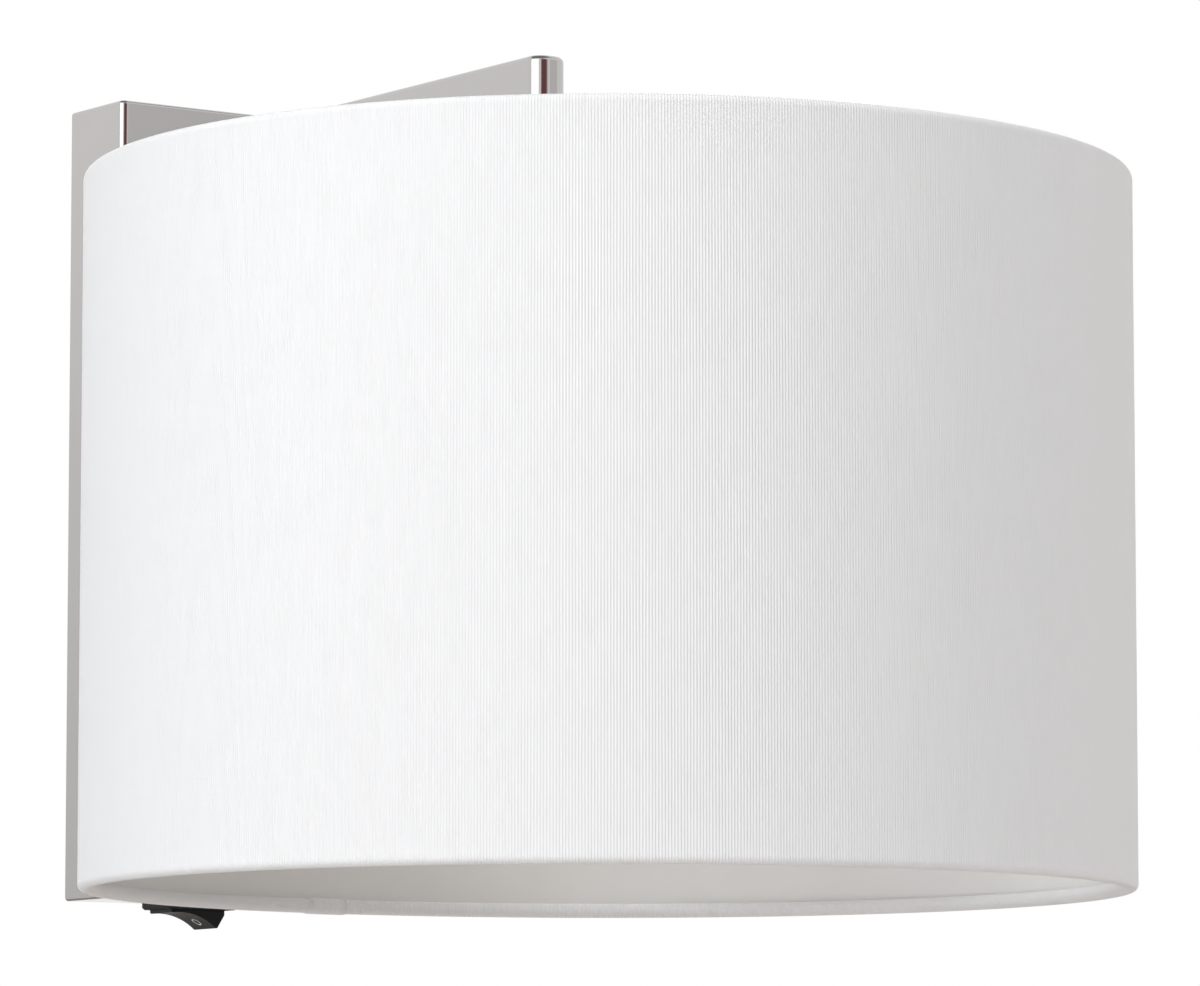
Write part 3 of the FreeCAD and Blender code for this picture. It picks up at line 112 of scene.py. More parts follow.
# The metal: edges flatter than this are shaded smoothly, and the steps of the arm's rounded edges.
SHARP_ANGLE = math.radians(34)
ARM_CORNER_STEPS = 6
ARM_END_STEPS = 12
# The darker end of the nickel's colour and the rougher end of its polish, as shares of the set values.
NICKEL_DARK = 0.96
NICKEL_ROUGH = 1.8

# The ring mark: its steps, where its rays start under the rocker, its gap and its thickness.
RING_SEGMENTS = 40
RING_RAY_START = 0.002
RING_GAP = 0.00003
RING_THICKNESS = 0.00004

# The stage: every lamp's distance and side, the floor's half side, and how much of it glows.
LAMP_DISTANCE = 2.0
LAMP_SIDE = 1.0
FLOOR_REACH = 8.0
FLOOR_GLOW = 0.75
SENSOR_WIDTH = 36
CLIP_NEAR, CLIP_FAR = 0.01, 50

# The lamps: azimuth and height in degrees, and colour. StageSettings holds each one's power.
LAMPS = {
    "key": (-92, 10, (0.965, 0.975, 1)),
    "high": (-70, 50, (0.97, 1, 1)),
    "front": (-5, 10, (0.955, 0.965, 1)),
    "right": (95, 5, (1, 0.985, 0.935)),
    "low": (-110, -25, (0.86, 0.93, 1)),
}


# ---- sizes and colours ---------------------------------------------------------------------------
class ShadeSettings(bpy.types.PropertyGroup):
    bead_radius: FloatProperty(
        name="Bead radius", description="Outside radius of the cloth rolled round each rim wire",
        default=0.0018, min=0.0014, max=0.003, unit="LENGTH", precision=5,
    )
    cloth_thickness: FloatProperty(
        name="Cloth thickness", description="Thickness of the outer cloth",
        default=0.00025, min=0.0001, max=0.0005, unit="LENGTH", precision=5,
    )
    bead_lip: FloatProperty(
        name="Bead lip", description="Angle above the wire at which the rolled bead leaves the flat wall",
        default=math.radians(8), min=0.0, max=1.2, subtype="ANGLE",
    )
    bead_step: FloatProperty(
        name="Bead step", description="How far the rolled beads stand out of the flat wall",
        default=0.00003, min=0.0, max=0.0005, unit="LENGTH", precision=5,
    )
    bead_square: FloatProperty(
        name="Bead square",
        description="How squarely the outer corner of a rolled bead is pressed: 2 is round",
        default=2.4, min=2.0, max=8.0,
    )
    lap_width: FloatProperty(
        name="Lap width", description="Width of the glued lap where the cloth's two ends meet at the back",
        default=0.011, min=0.005, max=0.02, unit="LENGTH", precision=4,
    )
    steps: IntProperty(
        name="Steps round", description="Number of faces round the shade", default=240, min=64, max=480,
    )
    rib_pitch: FloatProperty(
        name="Rib pitch", description="Distance from one upright rib of the weave to the next",
        default=0.0007, min=0.0003, max=0.002, unit="LENGTH", precision=5,
    )
    rib_depth: FloatProperty(
        name="Rib depth", description="Height of the ribs above the grooves between them",
        default=0.00023, min=0.0, max=0.001, unit="LENGTH", precision=6,
    )
    # The rib tops are painted lighter and the grooves painted darker: a painted highlight and painted shade
    # of the weave's relief over the cloth's white.
    thread: FloatVectorProperty(
        name="Thread", description="Colour of the top of a rib", default=(0.915, 0.915, 0.92),
        min=0, max=1, subtype="COLOR",
    )
    shaded_groove: FloatVectorProperty(
        name="Groove", description="Colour between two ribs", default=(0.885, 0.885, 0.89),
        min=0, max=1, subtype="COLOR",
    )


class MetalSettings(bpy.types.PropertyGroup):
    nickel: FloatVectorProperty(
        name="Nickel", description="Colour of the polished plate", default=(0.52, 0.505, 0.50),
        min=0, max=1, subtype="COLOR",
    )
    polish: FloatProperty(
        name="Polish", description="Roughness of the polished plate", default=0.08, min=0.0, max=0.6,
    )
    arm_corner: FloatProperty(
        name="Arm corner", description="Radius of the arm's top and bottom edges",
        default=0.0014, min=0.0005, max=0.002, unit="LENGTH", precision=5,
    )
    arm_end_round: FloatProperty(
        name="Arm end round", description="Radius of the arm's end seen from above",
        default=0.0042, min=0.0022, max=0.005, unit="LENGTH", precision=5,
    )


class SwitchSettings(bpy.types.PropertyGroup):
    ring_radius: FloatProperty(
        name="Ring radius", description="Radius of the ring mark on the rocker",
        default=0.0013, min=0.0005, max=0.003, unit="LENGTH", precision=5,
    )
    ring_line: FloatProperty(
        name="Ring line", description="Width of the ring mark's line",
        default=0.00035, min=0.0001, max=0.001, unit="LENGTH", precision=5,
    )
    ring_reach: FloatProperty(
        name="Ring reach", description="Distance of the ring mark from the middle of the switch",
        default=0.0021, min=0.0, max=0.006, unit="LENGTH", precision=5,
    )


class StageSettings(bpy.types.PropertyGroup):
    camera_place: FloatVectorProperty(
        name="Camera place", description="Where the camera stands",
        default=(-0.90957, -1.48472, -0.18985), unit="LENGTH", subtype="TRANSLATION",
    )
    yaw: FloatProperty(
        name="Yaw", description="Turn of the view to the right of straight at the wall",
        default=math.radians(35.2294), subtype="ANGLE",
    )
    pitch: FloatProperty(
        name="Pitch", description="Tilt of the view above level",
        default=math.radians(6.3942), subtype="ANGLE",
    )
    lens: FloatProperty(
        name="Lens", description="Focal length in millimetres", default=199.95, min=20, max=400,
    )
    floor_height: FloatProperty(
        name="Floor height", description="Height of the floor under the light", default=-1.25, unit="LENGTH",
    )
    room_light: FloatProperty(
        name="Room light", description="Strength of the even light all round", default=0.265, min=0, max=2,
    )
    key_power: FloatProperty(
        name="Key lamp", description="Power of the soft lamp at the left", default=9.6, min=0,
    )
    high_power: FloatProperty(
        name="High lamp", description="Power of the soft lamp high at the left", default=20.0, min=0,
    )
    front_power: FloatProperty(
        name="Front lamp", description="Power of the soft lamp in front", default=13.1, min=0,
    )
    right_power: FloatProperty(
        name="Right lamp", description="Power of the soft lamp at the right", default=11.7, min=0,
    )
    low_power: FloatProperty(
        name="Low lamp", description="Power of the soft lamp low at the left", default=7.2, min=0,
    )


# ---- node helpers --------------------------------------------------------------------------------
def add(tree, kind, **values):
    made = tree.nodes.new(kind)
    for name, value in values.items():
        setattr(made, name, value)
    return made


def join(tree, *pairs):
    for source, target in pairs:
        tree.links.new(source, target)


def calc(tree, operation, first, second=None, third=None):
    """A Math node whose inputs are sockets or plain numbers."""
    made = add(tree, "ShaderNodeMath", operation=operation)
    for index, value in enumerate((first, second, third)):
        if value is None:
            continue
        if isinstance(value, bpy.types.NodeSocket):
            tree.links.new(value, made.inputs[index])
        else:
            made.inputs[index].default_value = value
    return made.outputs[0]


def new_group(name, inputs, outputs):
    group = bpy.data.node_groups.new(name, "ShaderNodeTree")
    for direction, sockets in (("INPUT", inputs), ("OUTPUT", outputs)):
        for label, kind in sockets:
            group.interface.new_socket(name=label, in_out=direction, socket_type=f"NodeSocket{kind}")
    return group, add(group, "NodeGroupInput"), add(group, "NodeGroupOutput")


def surface_variation():
    """Cloudy change of colour, roughness and height over a surface."""
    name = "surface_variation"
    if name in bpy.data.node_groups:
        return bpy.data.node_groups[name]
    group, given, result = new_group(
        name,
        [
            ("Vector", "Vector"), ("Scale", "Float"), ("Low Colour", "Color"), ("High Colour", "Color"),
            ("Low Roughness", "Float"), ("High Roughness", "Float"),
        ],
        [("Colour", "Color"), ("Roughness", "Float"), ("Height", "Float")],
    )
    cloud = add(group, "ShaderNodeTexNoise")
    cloud.inputs["Detail"].default_value = 4
    cloud.inputs["Roughness"].default_value = 0.6
    shift = add(group, "ShaderNodeMapRange")
    shift.inputs["From Min"].default_value, shift.inputs["From Max"].default_value = NOISE_RANGE
    blend = add(group, "ShaderNodeMix", data_type="RGBA")
    rough = add(group, "ShaderNodeMapRange")
    join(
        group,
        (given.outputs["Vector"], cloud.inputs["Vector"]),
        (given.outputs["Scale"], cloud.inputs["Scale"]),
        (cloud.outputs["Fac"], shift.inputs["Value"]),
        (shift.outputs["Result"], blend.inputs[MIX_SHARE]),
        (given.outputs["Low Colour"], blend.inputs[MIX_FIRST]),
        (given.outputs["High Colour"], blend.inputs[MIX_SECOND]),
        (shift.outputs["Result"], rough.inputs["Value"]),
        (given.outputs["Low Roughness"], rough.inputs["To Min"]),
        (given.outputs["High Roughness"], rough.inputs["To Max"]),
        (blend.outputs[MIX_RESULT], result.inputs["Colour"]),
        (rough.outputs["Result"], result.inputs["Roughness"]),
        (cloud.outputs["Fac"], result.inputs["Height"]),
    )
    return group


def ribbed_weave():
    """Upright ribs of uneven thread with a finer cross thread and a few long slubs, on a map in metres."""
    name = "ribbed_weave"
    if name in bpy.data.node_groups:
        return bpy.data.node_groups[name]
    group, given, result = new_group(
        name, [("Vector", "Vector"), ("Rib Pitch", "Float")], [("Height", "Float"), ("Shade", "Float")]
    )
    split = add(group, "ShaderNodeSeparateXYZ")
    join(group, (given.outputs["Vector"], split.inputs[0]))
    along, up = split.outputs[0], split.outputs[1]
    pitch = given.outputs["Rib Pitch"]
    ribs = calc(group, "DIVIDE", along, pitch)

    def thread_noise(across, length, seed):
        place = add(group, "ShaderNodeCombineXYZ")
        cloud = add(group, "ShaderNodeTexNoise")
        cloud.inputs["Scale"].default_value = 1
        cloud.inputs["Detail"].default_value = THREAD_DETAIL
        place.inputs[2].default_value = seed
        join(
            group,
            (calc(group, "MULTIPLY", ribs, across), place.inputs[0]),
            (calc(group, "MULTIPLY", up, length), place.inputs[1]),
            (place.outputs[0], cloud.inputs["Vector"]),
        )
        return cloud.outputs["Fac"]

    noises = {label: thread_noise(*values) for label, values in WEAVE_NOISES.items()}
    sway = calc(group, "MULTIPLY", noises["sway"], RIB_SWAY)
    turn = calc(group, "MULTIPLY_ADD", ribs, 2 * math.pi, sway)
    strength = add(group, "ShaderNodeMapRange")
    strength.inputs["From Min"].default_value, strength.inputs["From Max"].default_value = NOISE_RANGE
    strength.inputs["To Min"].default_value, strength.inputs["To Max"].default_value = RIB_STRENGTH
    join(group, (noises["fade"], strength.inputs["Value"]))
    ridge = add(group, "ShaderNodeMapRange", interpolation_type="SMOOTHSTEP")
    ridge.inputs["From Min"].default_value, ridge.inputs["From Max"].default_value = SLUB_EDGE
    join(group, (noises["slub"], ridge.inputs["Value"]))
    height = calc(group, "MULTIPLY_ADD", calc(group, "SINE", turn), strength.outputs["Result"], RIB_MIDDLE)
    height = calc(group, "MULTIPLY_ADD", noises["uneven"], UNEVEN_HEIGHT, height)
    height = calc(group, "MULTIPLY_ADD", noises["cross"], CROSS_HEIGHT, height)
    height = calc(group, "MULTIPLY_ADD", ridge.outputs["Result"], SLUB_HEIGHT, height)
    # The height also goes out as Shade, which paints the cloth darker in the grooves (painted shade) and
    # lighter on the rib tops and slubs (painted highlight).
    join(group, (height, result.inputs["Height"]), (height, result.inputs["Shade"]))
    return group


def new_material(name):
    made = bpy.data.materials.new(name)
    made.use_nodes = True
    shader = made.node_tree.nodes["Principled BSDF"]
    return made, made.node_tree, shader


def finish_of(name, low, high, roughness, scale, metallic=0.0, bump=0.00002, coat=0.0):
    """A finish whose colour, roughness and height drift over the surface between the two given ends."""
    made, tree, shader = new_material(name)
    where = add(tree, "ShaderNodeTexCoord")
    drift = add(tree, "ShaderNodeGroup", node_tree=surface_variation())
    drift.inputs["Scale"].default_value = scale
    drift.inputs["Low Colour"].default_value = (*low, 1)
    drift.inputs["High Colour"].default_value = (*high, 1)
    drift.inputs["Low Roughness"].default_value = roughness[0]
    drift.inputs["High Roughness"].default_value = roughness[1]
    relief = add(tree, "ShaderNodeBump")
    relief.inputs["Distance"].default_value = bump
    shader.inputs["Metallic"].default_value = metallic
    shader.inputs["Coat Weight"].default_value = coat
    join(
        tree,
        (where.outputs["Object"], drift.inputs["Vector"]),
        (drift.outputs["Colour"], shader.inputs["Base Color"]),
        (drift.outputs["Roughness"], shader.inputs["Roughness"]),
        (drift.outputs["Height"], relief.inputs["Height"]),
        (relief.outputs["Normal"], shader.inputs["Normal"]),
    )
    return made


def cloth_finish(settings):
    made, tree, shader = new_material("ribbed_cloth")
    where = add(tree, "ShaderNodeUVMap", uv_map="weave")
    weave = add(tree, "ShaderNodeGroup", node_tree=ribbed_weave())
    weave.inputs["Rib Pitch"].default_value = settings.rib_pitch
    # Painted shade and highlight: the colour runs from the darker groove colour to the lighter rib-top colour
    # with the weave's height, so grooves are painted shaded and rib tops and slubs painted lit; the uneven
    # and cross noises in the height add real uneven tone.
    tint = add(tree, "ShaderNodeMix", data_type="RGBA")
    tint.inputs[MIX_FIRST].default_value = (*settings.shaded_groove, 1)
    tint.inputs[MIX_SECOND].default_value = (*settings.thread, 1)
    relief = add(tree, "ShaderNodeBump")
    relief.inputs["Distance"].default_value = settings.rib_depth
    shader.inputs["Roughness"].default_value = 0.85
    shader.inputs["Sheen Weight"].default_value = 0.08
    shader.inputs["Specular IOR Level"].default_value = 0.25
    join(
        tree,
        (where.outputs["UV"], weave.inputs["Vector"]),
        (weave.outputs["Shade"], tint.inputs[MIX_SHARE]),
        (tint.outputs[MIX_RESULT], shader.inputs["Base Color"]),
        (weave.outputs["Height"], relief.inputs["Height"]),
        (relief.outputs["Normal"], shader.inputs["Normal"]),
    )
    return made


def dress(material, *nodes):
    for name in nodes:
        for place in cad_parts[name].material_slots:
            place.material = material


# ---- mesh helpers --------------------------------------------------------------------------------
def to_object(bm, name, material, body):
    mesh = bpy.data.meshes.new(name)
    bm.to_mesh(mesh)
    bm.free()
    piece = bpy.data.objects.new(name, mesh)
    bpy.context.scene.collection.objects.link(piece)
    mesh.materials.append(material)
    mesh.polygons.foreach_set("use_smooth", [True] * len(mesh.polygons))
    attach(piece, body)
    return piece


def rolled_bead(bm, centre, radius, lip, sweep, side, square):
    """The section of one rolled rim, from the wall round the outside and the wire to its tuck.

    A square over 2 presses the outer corner from round towards square. The start is given back."""
    start = bm.verts.new((centre.x + radius * math.cos(lip), 0, centre.z - side * radius * math.sin(lip)))
    known = set(bm.verts)
    bmesh.ops.spin(
        bm, geom=[start], cent=centre, axis=(0, 1, 0), dvec=(0, 0, 0), angle=-side * sweep,
        steps=BEAD_STEPS, use_merge=False, use_duplicate=False,
    )
    for vert in set(bm.verts) - known:
        arm = vert.co - centre
        if arm.x > 0 and side * arm.z > 0:
            turn = math.atan2(abs(arm.z), arm.x)
            reach = (math.cos(turn) ** square + math.sin(turn) ** square) ** (-1 / square)
            vert.co = centre + arm * reach
    return start


def cloth_section(bm, settings, lift):
    """One upright section of the cloth on the +X side: a flat wall between two rolled beads."""
    bead = settings.bead_radius
    wire = SHADE_RADIUS - bead
    low = Vector((wire, 0, SHADE_LOW.z + bead))
    high = Vector((wire, 0, SHADE_HIGH.z - bead))
    sweep = 2 * math.pi + settings.bead_lip - BEAD_TUCK
    ends = [
        rolled_bead(bm, centre, bead + lift, settings.bead_lip, sweep, side, settings.bead_square)
        for centre, side in ((low, -1), (high, 1))
    ]
    wall = SHADE_RADIUS - settings.bead_step + lift
    feet = [
        bm.verts.new((wall, 0, ends[0].co.z + BEAD_RUN)),
        bm.verts.new((wall, 0, ends[1].co.z - BEAD_RUN)),
    ]
    bm.edges.new((ends[0], feet[0]))
    bm.edges.new((ends[1], feet[1]))
    face_line = bm.edges.new(feet)
    bmesh.ops.subdivide_edges(bm, edges=[face_line], cuts=WALL_CUTS)


def map_cloth(bm, settings):
    """Lays the weave's map in metres: round the shade, and along the section over the beads."""
    layer = bm.loops.layers.uv.new("weave")
    bead = settings.bead_radius
    wire = SHADE_RADIUS - bead
    for face in bm.faces:
        middle = face.calc_center_median()
        base = math.atan2(middle.y, middle.x)
        for loop in face.loops:
            point = loop.vert.co
            angle = math.atan2(point.y, point.x)
            angle = base + math.remainder(angle - base, 2 * math.pi)
            reach = math.hypot(point.x, point.y)
            height = point.z
            for centre, side in ((SHADE_LOW.z + bead, -1), (SHADE_HIGH.z - bead, 1)):
                if side * (point.z - centre) > -bead and reach < wire + bead * BEAD_MAP_REACH:
                    turned = math.atan2(side * (point.z - centre), reach - wire) % (2 * math.pi)
                    height = centre + side * bead * turned
            loop[layer].uv = (angle * SHADE_RADIUS, height)


def wander_at(point, rate):
    """Smooth noise at a point, for the rates across and up the shade."""
    across, up = rate
    return noise.noise(Vector((point.x * across, point.y * across, point.z * up)))


def soften_cloth(bm):
    """Lets the laminated wall and the rolled beads wander a little, mostly inwards."""
    for vert in bm.verts:
        point = vert.co
        outward = Vector((point.x, point.y, 0)).normalized()
        near_rim = min(point.z - SHADE_LOW.z, SHADE_HIGH.z - point.z) < RIM_ZONE
        wide = wander_at(point, WIDE_RATE)
        fine = wander_at(point, FINE_RATE) if near_rim else 0.0
        vert.co = point + outward * CLOTH_WANDER * (WIDE_SHARE * wide + FINE_SHARE * fine - INWARD_SHARE)


def thicken(piece, thickness):
    shell = piece.modifiers.new("thickness", "SOLIDIFY")
    shell.thickness = thickness
    shell.offset = -1
    shell.use_even_offset = True


def face_outwards(piece):
    """Turns the cloth's faces over if its middle faces look at the shade's axis."""
    mesh = piece.data
    outward = 0.0
    for face in mesh.polygons:
        arm = Vector((face.center.x - SHADE_AXIS.x, face.center.y - SHADE_AXIS.y, 0))
        if SHADE_LOW.z + RIM_MARGIN < face.center.z < SHADE_HIGH.z - RIM_MARGIN:
            outward += arm.dot(face.normal)
    if outward < 0:
        mesh.flip_normals()


def turn_section(bm, angle, steps, closed):
    """Turns the cloth's section about the shade's axis, which is still at the origin."""
    bmesh.ops.spin(
        bm, geom=bm.verts[:] + bm.edges[:], cent=(0, 0, 0), axis=(0, 0, 1), dvec=(0, 0, 0),
        angle=angle, steps=steps, use_merge=closed, use_duplicate=False,
    )


def cloth_piece(bm, name, cloth, settings):
    """Maps, softens and places the turned cloth, and gives it its thickness."""
    bmesh.ops.recalc_face_normals(bm, faces=bm.faces)
    map_cloth(bm, settings)
    soften_cloth(bm)
    bmesh.ops.translate(bm, verts=bm.verts, vec=(SHADE_AXIS.x, SHADE_AXIS.y, 0))
    piece = to_object(bm, name, cloth, "fixture")
    face_outwards(piece)
    thicken(piece, settings.cloth_thickness)
    return piece


# ---- shade ---------------------------------------------------------------------------------------
class WALLLIGHT_OT_shade_cloth(bpy.types.Operator):
    """Makes the outer cloth with its rolled rims and the glued lap at the back"""

    bl_idname = "wall_light.shade_cloth"
    bl_label = "Shade cloth"

    def execute(self, context):
        settings = context.scene.wall_light_shade
        cloth = cloth_finish(settings)

        bm = bmesh.new()
        cloth_section(bm, settings, 0.0)
        turn_section(bm, 2 * math.pi, settings.steps, closed=True)
        bmesh.ops.remove_doubles(bm, verts=bm.verts, dist=MERGE_DISTANCE)
        shade = cloth_piece(bm, "shade_cloth", cloth, settings)
        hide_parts("shade_fabric")

        bm = bmesh.new()
        cloth_section(bm, settings, settings.cloth_thickness * LAP_LIFT)
        sweep = settings.lap_width / SHADE_RADIUS
        to_back = Matrix.Rotation(math.pi / 2 - sweep / 2, 3, "Z")
        bmesh.ops.rotate(bm, verts=bm.verts, cent=(0, 0, 0), matrix=to_back)
        turn_section(bm, sweep, LAP_STEPS, closed=False)
        lap = cloth_piece(bm, "shade_cloth_lap", cloth, settings)
        return {"FINISHED"}


class WALLLIGHT_OT_shade_inside(bpy.types.Operator):
    """Finishes the lining, the rim wires, the spokes and the hub ring"""

    bl_idname = "wall_light.shade_inside"
    bl_label = "Shade inside"

    def execute(self, context):
        lining = finish_of(
            "lining_sheet", (0.86, 0.845, 0.83), (0.89, 0.875, 0.86), (0.42, 0.5), scale=30, bump=0.00001,
        )
        enamel = finish_of(
            "white_enamel", (0.82, 0.82, 0.8), (0.88, 0.88, 0.86), (0.28, 0.4), scale=120, coat=0.2,
        )
        dress(lining, "shade_lining")
        dress(enamel, "shade_top_wire", "shade_bottom_wire", "shade_spokes", "shade_hub_ring")
        return {"FINISHED"}


# ---- metal ---------------------------------------------------------------------------------------
def even_out(piece):
    """Shades the rounded edges smoothly and keeps the flats flat."""
    piece.data.set_sharp_from_angle(angle=SHARP_ANGLE)
    evened = piece.modifiers.new("evened", "WEIGHTED_NORMAL")
    evened.keep_sharp = True


def metal_skin(node, material):
    """A copy of a solid's own surface with its facets joined."""
    bm = bmesh.new()
    bm.from_mesh(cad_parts[node].data)
    bmesh.ops.remove_doubles(bm, verts=bm.verts, dist=MERGE_DISTANCE)
    skin = to_object(bm, f"{node}_skin", material, "fixture")
    even_out(skin)
    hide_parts(node)


def quarter_turns(steps):
    """The angles of a quarter circle in even steps, both ends included."""
    return [math.pi / 2 * step / steps for step in range(steps + 1)]


def arm_skin(name, node, outline, settings, material):
    """The outside of a part of the arm: its outline from above, drawn in at the rounded long edges."""
    low, high = (Vector(corner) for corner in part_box("arm_tube"))
    corner = settings.arm_corner
    turns = quarter_turns(ARM_CORNER_STEPS)
    levels = [(corner * (1 - math.sin(turn)), low.z + corner * (1 - math.cos(turn))) for turn in turns]
    levels += [(inset, low.z + high.z - height) for inset, height in reversed(levels)]
    bm = bmesh.new()
    rings = [[bm.verts.new((x, y, height)) for x, y in outline(inset)] for inset, height in levels]
    for under, over in zip(rings, rings[1:]):
        for index in range(len(under) - 1):
            bm.faces.new((under[index], under[index + 1], over[index + 1], over[index]))
    bm.faces.new(rings[0])
    bm.faces.new(rings[-1])
    bmesh.ops.recalc_face_normals(bm, faces=bm.faces)
    skin = to_object(bm, name, material, "fixture")
    even_out(skin)
    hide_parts(node)


def arm_run(material, settings):
    """The arm's straight run from the box to the joint with its end."""
    low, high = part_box("arm_tube")

    def outline(inset):
        left, right = low[0] + inset, high[0] - inset
        return [(left, low[1]), (left, high[1]), (right, high[1]), (right, low[1])]

    arm_skin("arm_run", "arm_tube", outline, settings, material)


def arm_end(material, settings):
    """The arm's end: nearly half round from above, with a narrow flat in the middle."""
    low, high = (Vector(corner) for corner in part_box("arm_end_plug"))
    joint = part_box("arm_tube")[0][1]
    centre = (low.x + high.x) / 2
    flat = (high.x - low.x) / 2 - settings.arm_end_round
    start = low.y + settings.arm_end_round

    def outline(inset):
        reach = settings.arm_end_round - inset
        turns = quarter_turns(ARM_END_STEPS)
        quarter = [(flat + reach * math.cos(turn), start - reach * math.sin(turn)) for turn in turns]
        quarter.insert(0, (flat + reach, joint))
        return [(centre - x, y) for x, y in quarter] + [(centre + x, y) for x, y in reversed(quarter)]

    arm_skin("arm_end", "arm_end_plug", outline, settings, material)


class WALLLIGHT_OT_metalwork(bpy.types.Operator):
    """Finishes the polished box with its screws, the arm and the carrier"""

    bl_idname = "wall_light.metalwork"
    bl_label = "Metalwork"

    def execute(self, context):
        settings = context.scene.wall_light_metal
        dark = tuple(NICKEL_DARK * part for part in settings.nickel)
        nickel = finish_of(
            "polished_nickel", dark, tuple(settings.nickel),
            (settings.polish, settings.polish * NICKEL_ROUGH), scale=18, metallic=1.0, bump=0.000004,
        )
        dress(nickel, "shell_screws")
        for node in ("box_shell", "holder_carrier", "carrier_cover"):
            metal_skin(node, nickel)
        arm_run(nickel, settings)
        arm_end(nickel, settings)
        return {"FINISHED"}


class WALLLIGHT_OT_fittings(bpy.types.Operator):
    """Finishes the bracket, the screws, the terminals and the lampholder"""

    bl_idname = "wall_light.fittings"
    bl_label = "Fittings"

    def execute(self, context):
        zinc = finish_of(
            "zinc_plate", (0.48, 0.49, 0.52), (0.62, 0.63, 0.64), (0.28, 0.45), scale=90, metallic=1.0,
        )
        brass = finish_of(
            "bright_brass", (0.68, 0.5, 0.22), (0.8, 0.62, 0.32), (0.2, 0.35), scale=150, metallic=1.0,
        )
        white = finish_of(
            "white_moulding", (0.8, 0.8, 0.78), (0.85, 0.85, 0.83), (0.35, 0.48), scale=200, bump=0.00001,
        )
        rubber = finish_of(
            "grey_rubber", (0.09, 0.09, 0.095), (0.13, 0.13, 0.135), (0.6, 0.75), scale=300, bump=0.00003,
        )
        dress(
            zinc, "wall_bracket", "earth_screw", "earth_washer", "block_screws", "arm_root_block",
            "arm_backing_plate", "arm_screws", "carrier_screws", "carrier_nut_strip", "nipple", "nipple_nut",
        )
        dress(
            brass, "terminal_clamps", "terminal_screws", "holder_terminals", "centre_contact",
            "switch_blades", "thread_sleeve",
        )
        dress(white, "terminal_block", "holder_cap", "holder_skirt", "holder_insert", "shade_ring")
        dress(rubber, "cable_grommet")
        return {"FINISHED"}


class WALLLIGHT_OT_leads(bpy.types.Operator):
    """Finishes the insulated leads inside the box and the arm"""

    bl_idname = "wall_light.leads"
    bl_label = "Leads"

    def execute(self, context):
        brown = finish_of("brown_insulation", (0.16, 0.07, 0.035), (0.22, 0.1, 0.05), (0.4, 0.5), scale=150)
        blue = finish_of("blue_insulation", (0.03, 0.1, 0.4), (0.05, 0.14, 0.48), (0.4, 0.5), scale=150)
        earth = finish_of("earth_insulation", (0.16, 0.42, 0.08), (0.6, 0.6, 0.06), (0.4, 0.5), scale=220)
        dress(brown, "lamp_live_lead", "switch_feed_lead")
        dress(blue, "lamp_neutral_lead")
        dress(earth, "earth_lead")
        return {"FINISHED"}


# ---- switch --------------------------------------------------------------------------------------
class WALLLIGHT_OT_switch(bpy.types.Operator):
    """Finishes the rocker switch and prints the ring mark on its rocker"""

    bl_idname = "wall_light.switch"
    bl_label = "Switch"

    def execute(self, context):
        settings = context.scene.wall_light_switch
        black = finish_of(
            "black_moulding", (0.006, 0.006, 0.0065), (0.01, 0.01, 0.011), (0.26, 0.38), scale=400,
        )
        black.node_tree.nodes["Principled BSDF"].inputs["Specular IOR Level"].default_value = 0.22
        mark = finish_of("white_print", (0.6, 0.6, 0.6), (0.75, 0.75, 0.75), (0.4, 0.5), scale=800)
        dress(black, "switch_body", "switch_rocker")

        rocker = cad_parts["switch_rocker"]
        low, high = (Vector(corner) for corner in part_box("switch_rocker"))
        centre = Vector((settings.ring_reach, (low.y + high.y) / 2, low.z - RING_RAY_START))
        bm = bmesh.new()
        verts = []
        for radius in (settings.ring_radius, settings.ring_radius - settings.ring_line):
            verts += bmesh.ops.create_circle(bm, segments=RING_SEGMENTS, radius=radius)["verts"]
        edges = {edge for vert in verts for edge in vert.link_edges}
        bmesh.ops.bridge_loops(bm, edges=list(edges))
        bmesh.ops.translate(bm, verts=bm.verts, vec=centre)
        surface = BVHTree.FromPolygons(
            [vert.co for vert in rocker.data.vertices],
            [tuple(face.vertices) for face in rocker.data.polygons],
        )
        for vert in bm.verts:
            place = surface.ray_cast(vert.co, Vector((0, 0, 1)))[0]
            vert.co = place - Vector((0, 0, RING_GAP))
        ring = to_object(bm, "rocker_ring_mark", mark, "rocker")
        thickness = ring.modifiers.new("thickness", "SOLIDIFY")
        thickness.thickness = RING_THICKNESS
        return {"FINISHED"}


# ---- bulb ----------------------------------------------------------------------------------------
class WALLLIGHT_OT_bulb(bpy.types.Operator):
    """Finishes the bulb"""

    bl_idname = "wall_light.bulb"
    bl_label = "Bulb"

    def execute(self, context):
        opal = finish_of(
            "opal_dome", (0.9, 0.9, 0.88), (0.93, 0.93, 0.91), (0.3, 0.36), scale=25, bump=0.000005,
        )
        collar = finish_of(
            "bulb_collar", (0.82, 0.82, 0.81), (0.86, 0.86, 0.85), (0.4, 0.5), scale=60, bump=0.00001,
        )
        cap = finish_of(
            "bulb_cap_plate", (0.6, 0.6, 0.59), (0.7, 0.7, 0.68), (0.22, 0.4), scale=120, metallic=1.0,
        )
        black = finish_of("black_glass", (0.01, 0.01, 0.012), (0.03, 0.03, 0.034), (0.1, 0.2), scale=200)
        solder = finish_of("solder", (0.5, 0.5, 0.5), (0.62, 0.62, 0.61), (0.3, 0.5), scale=500, metallic=1.0)
        dress(opal, "bulb_dome")
        dress(collar, "bulb_collar")
        dress(cap, "bulb_cap")
        dress(black, "bulb_insulator")
        dress(solder, "bulb_contact")
        return {"FINISHED"}


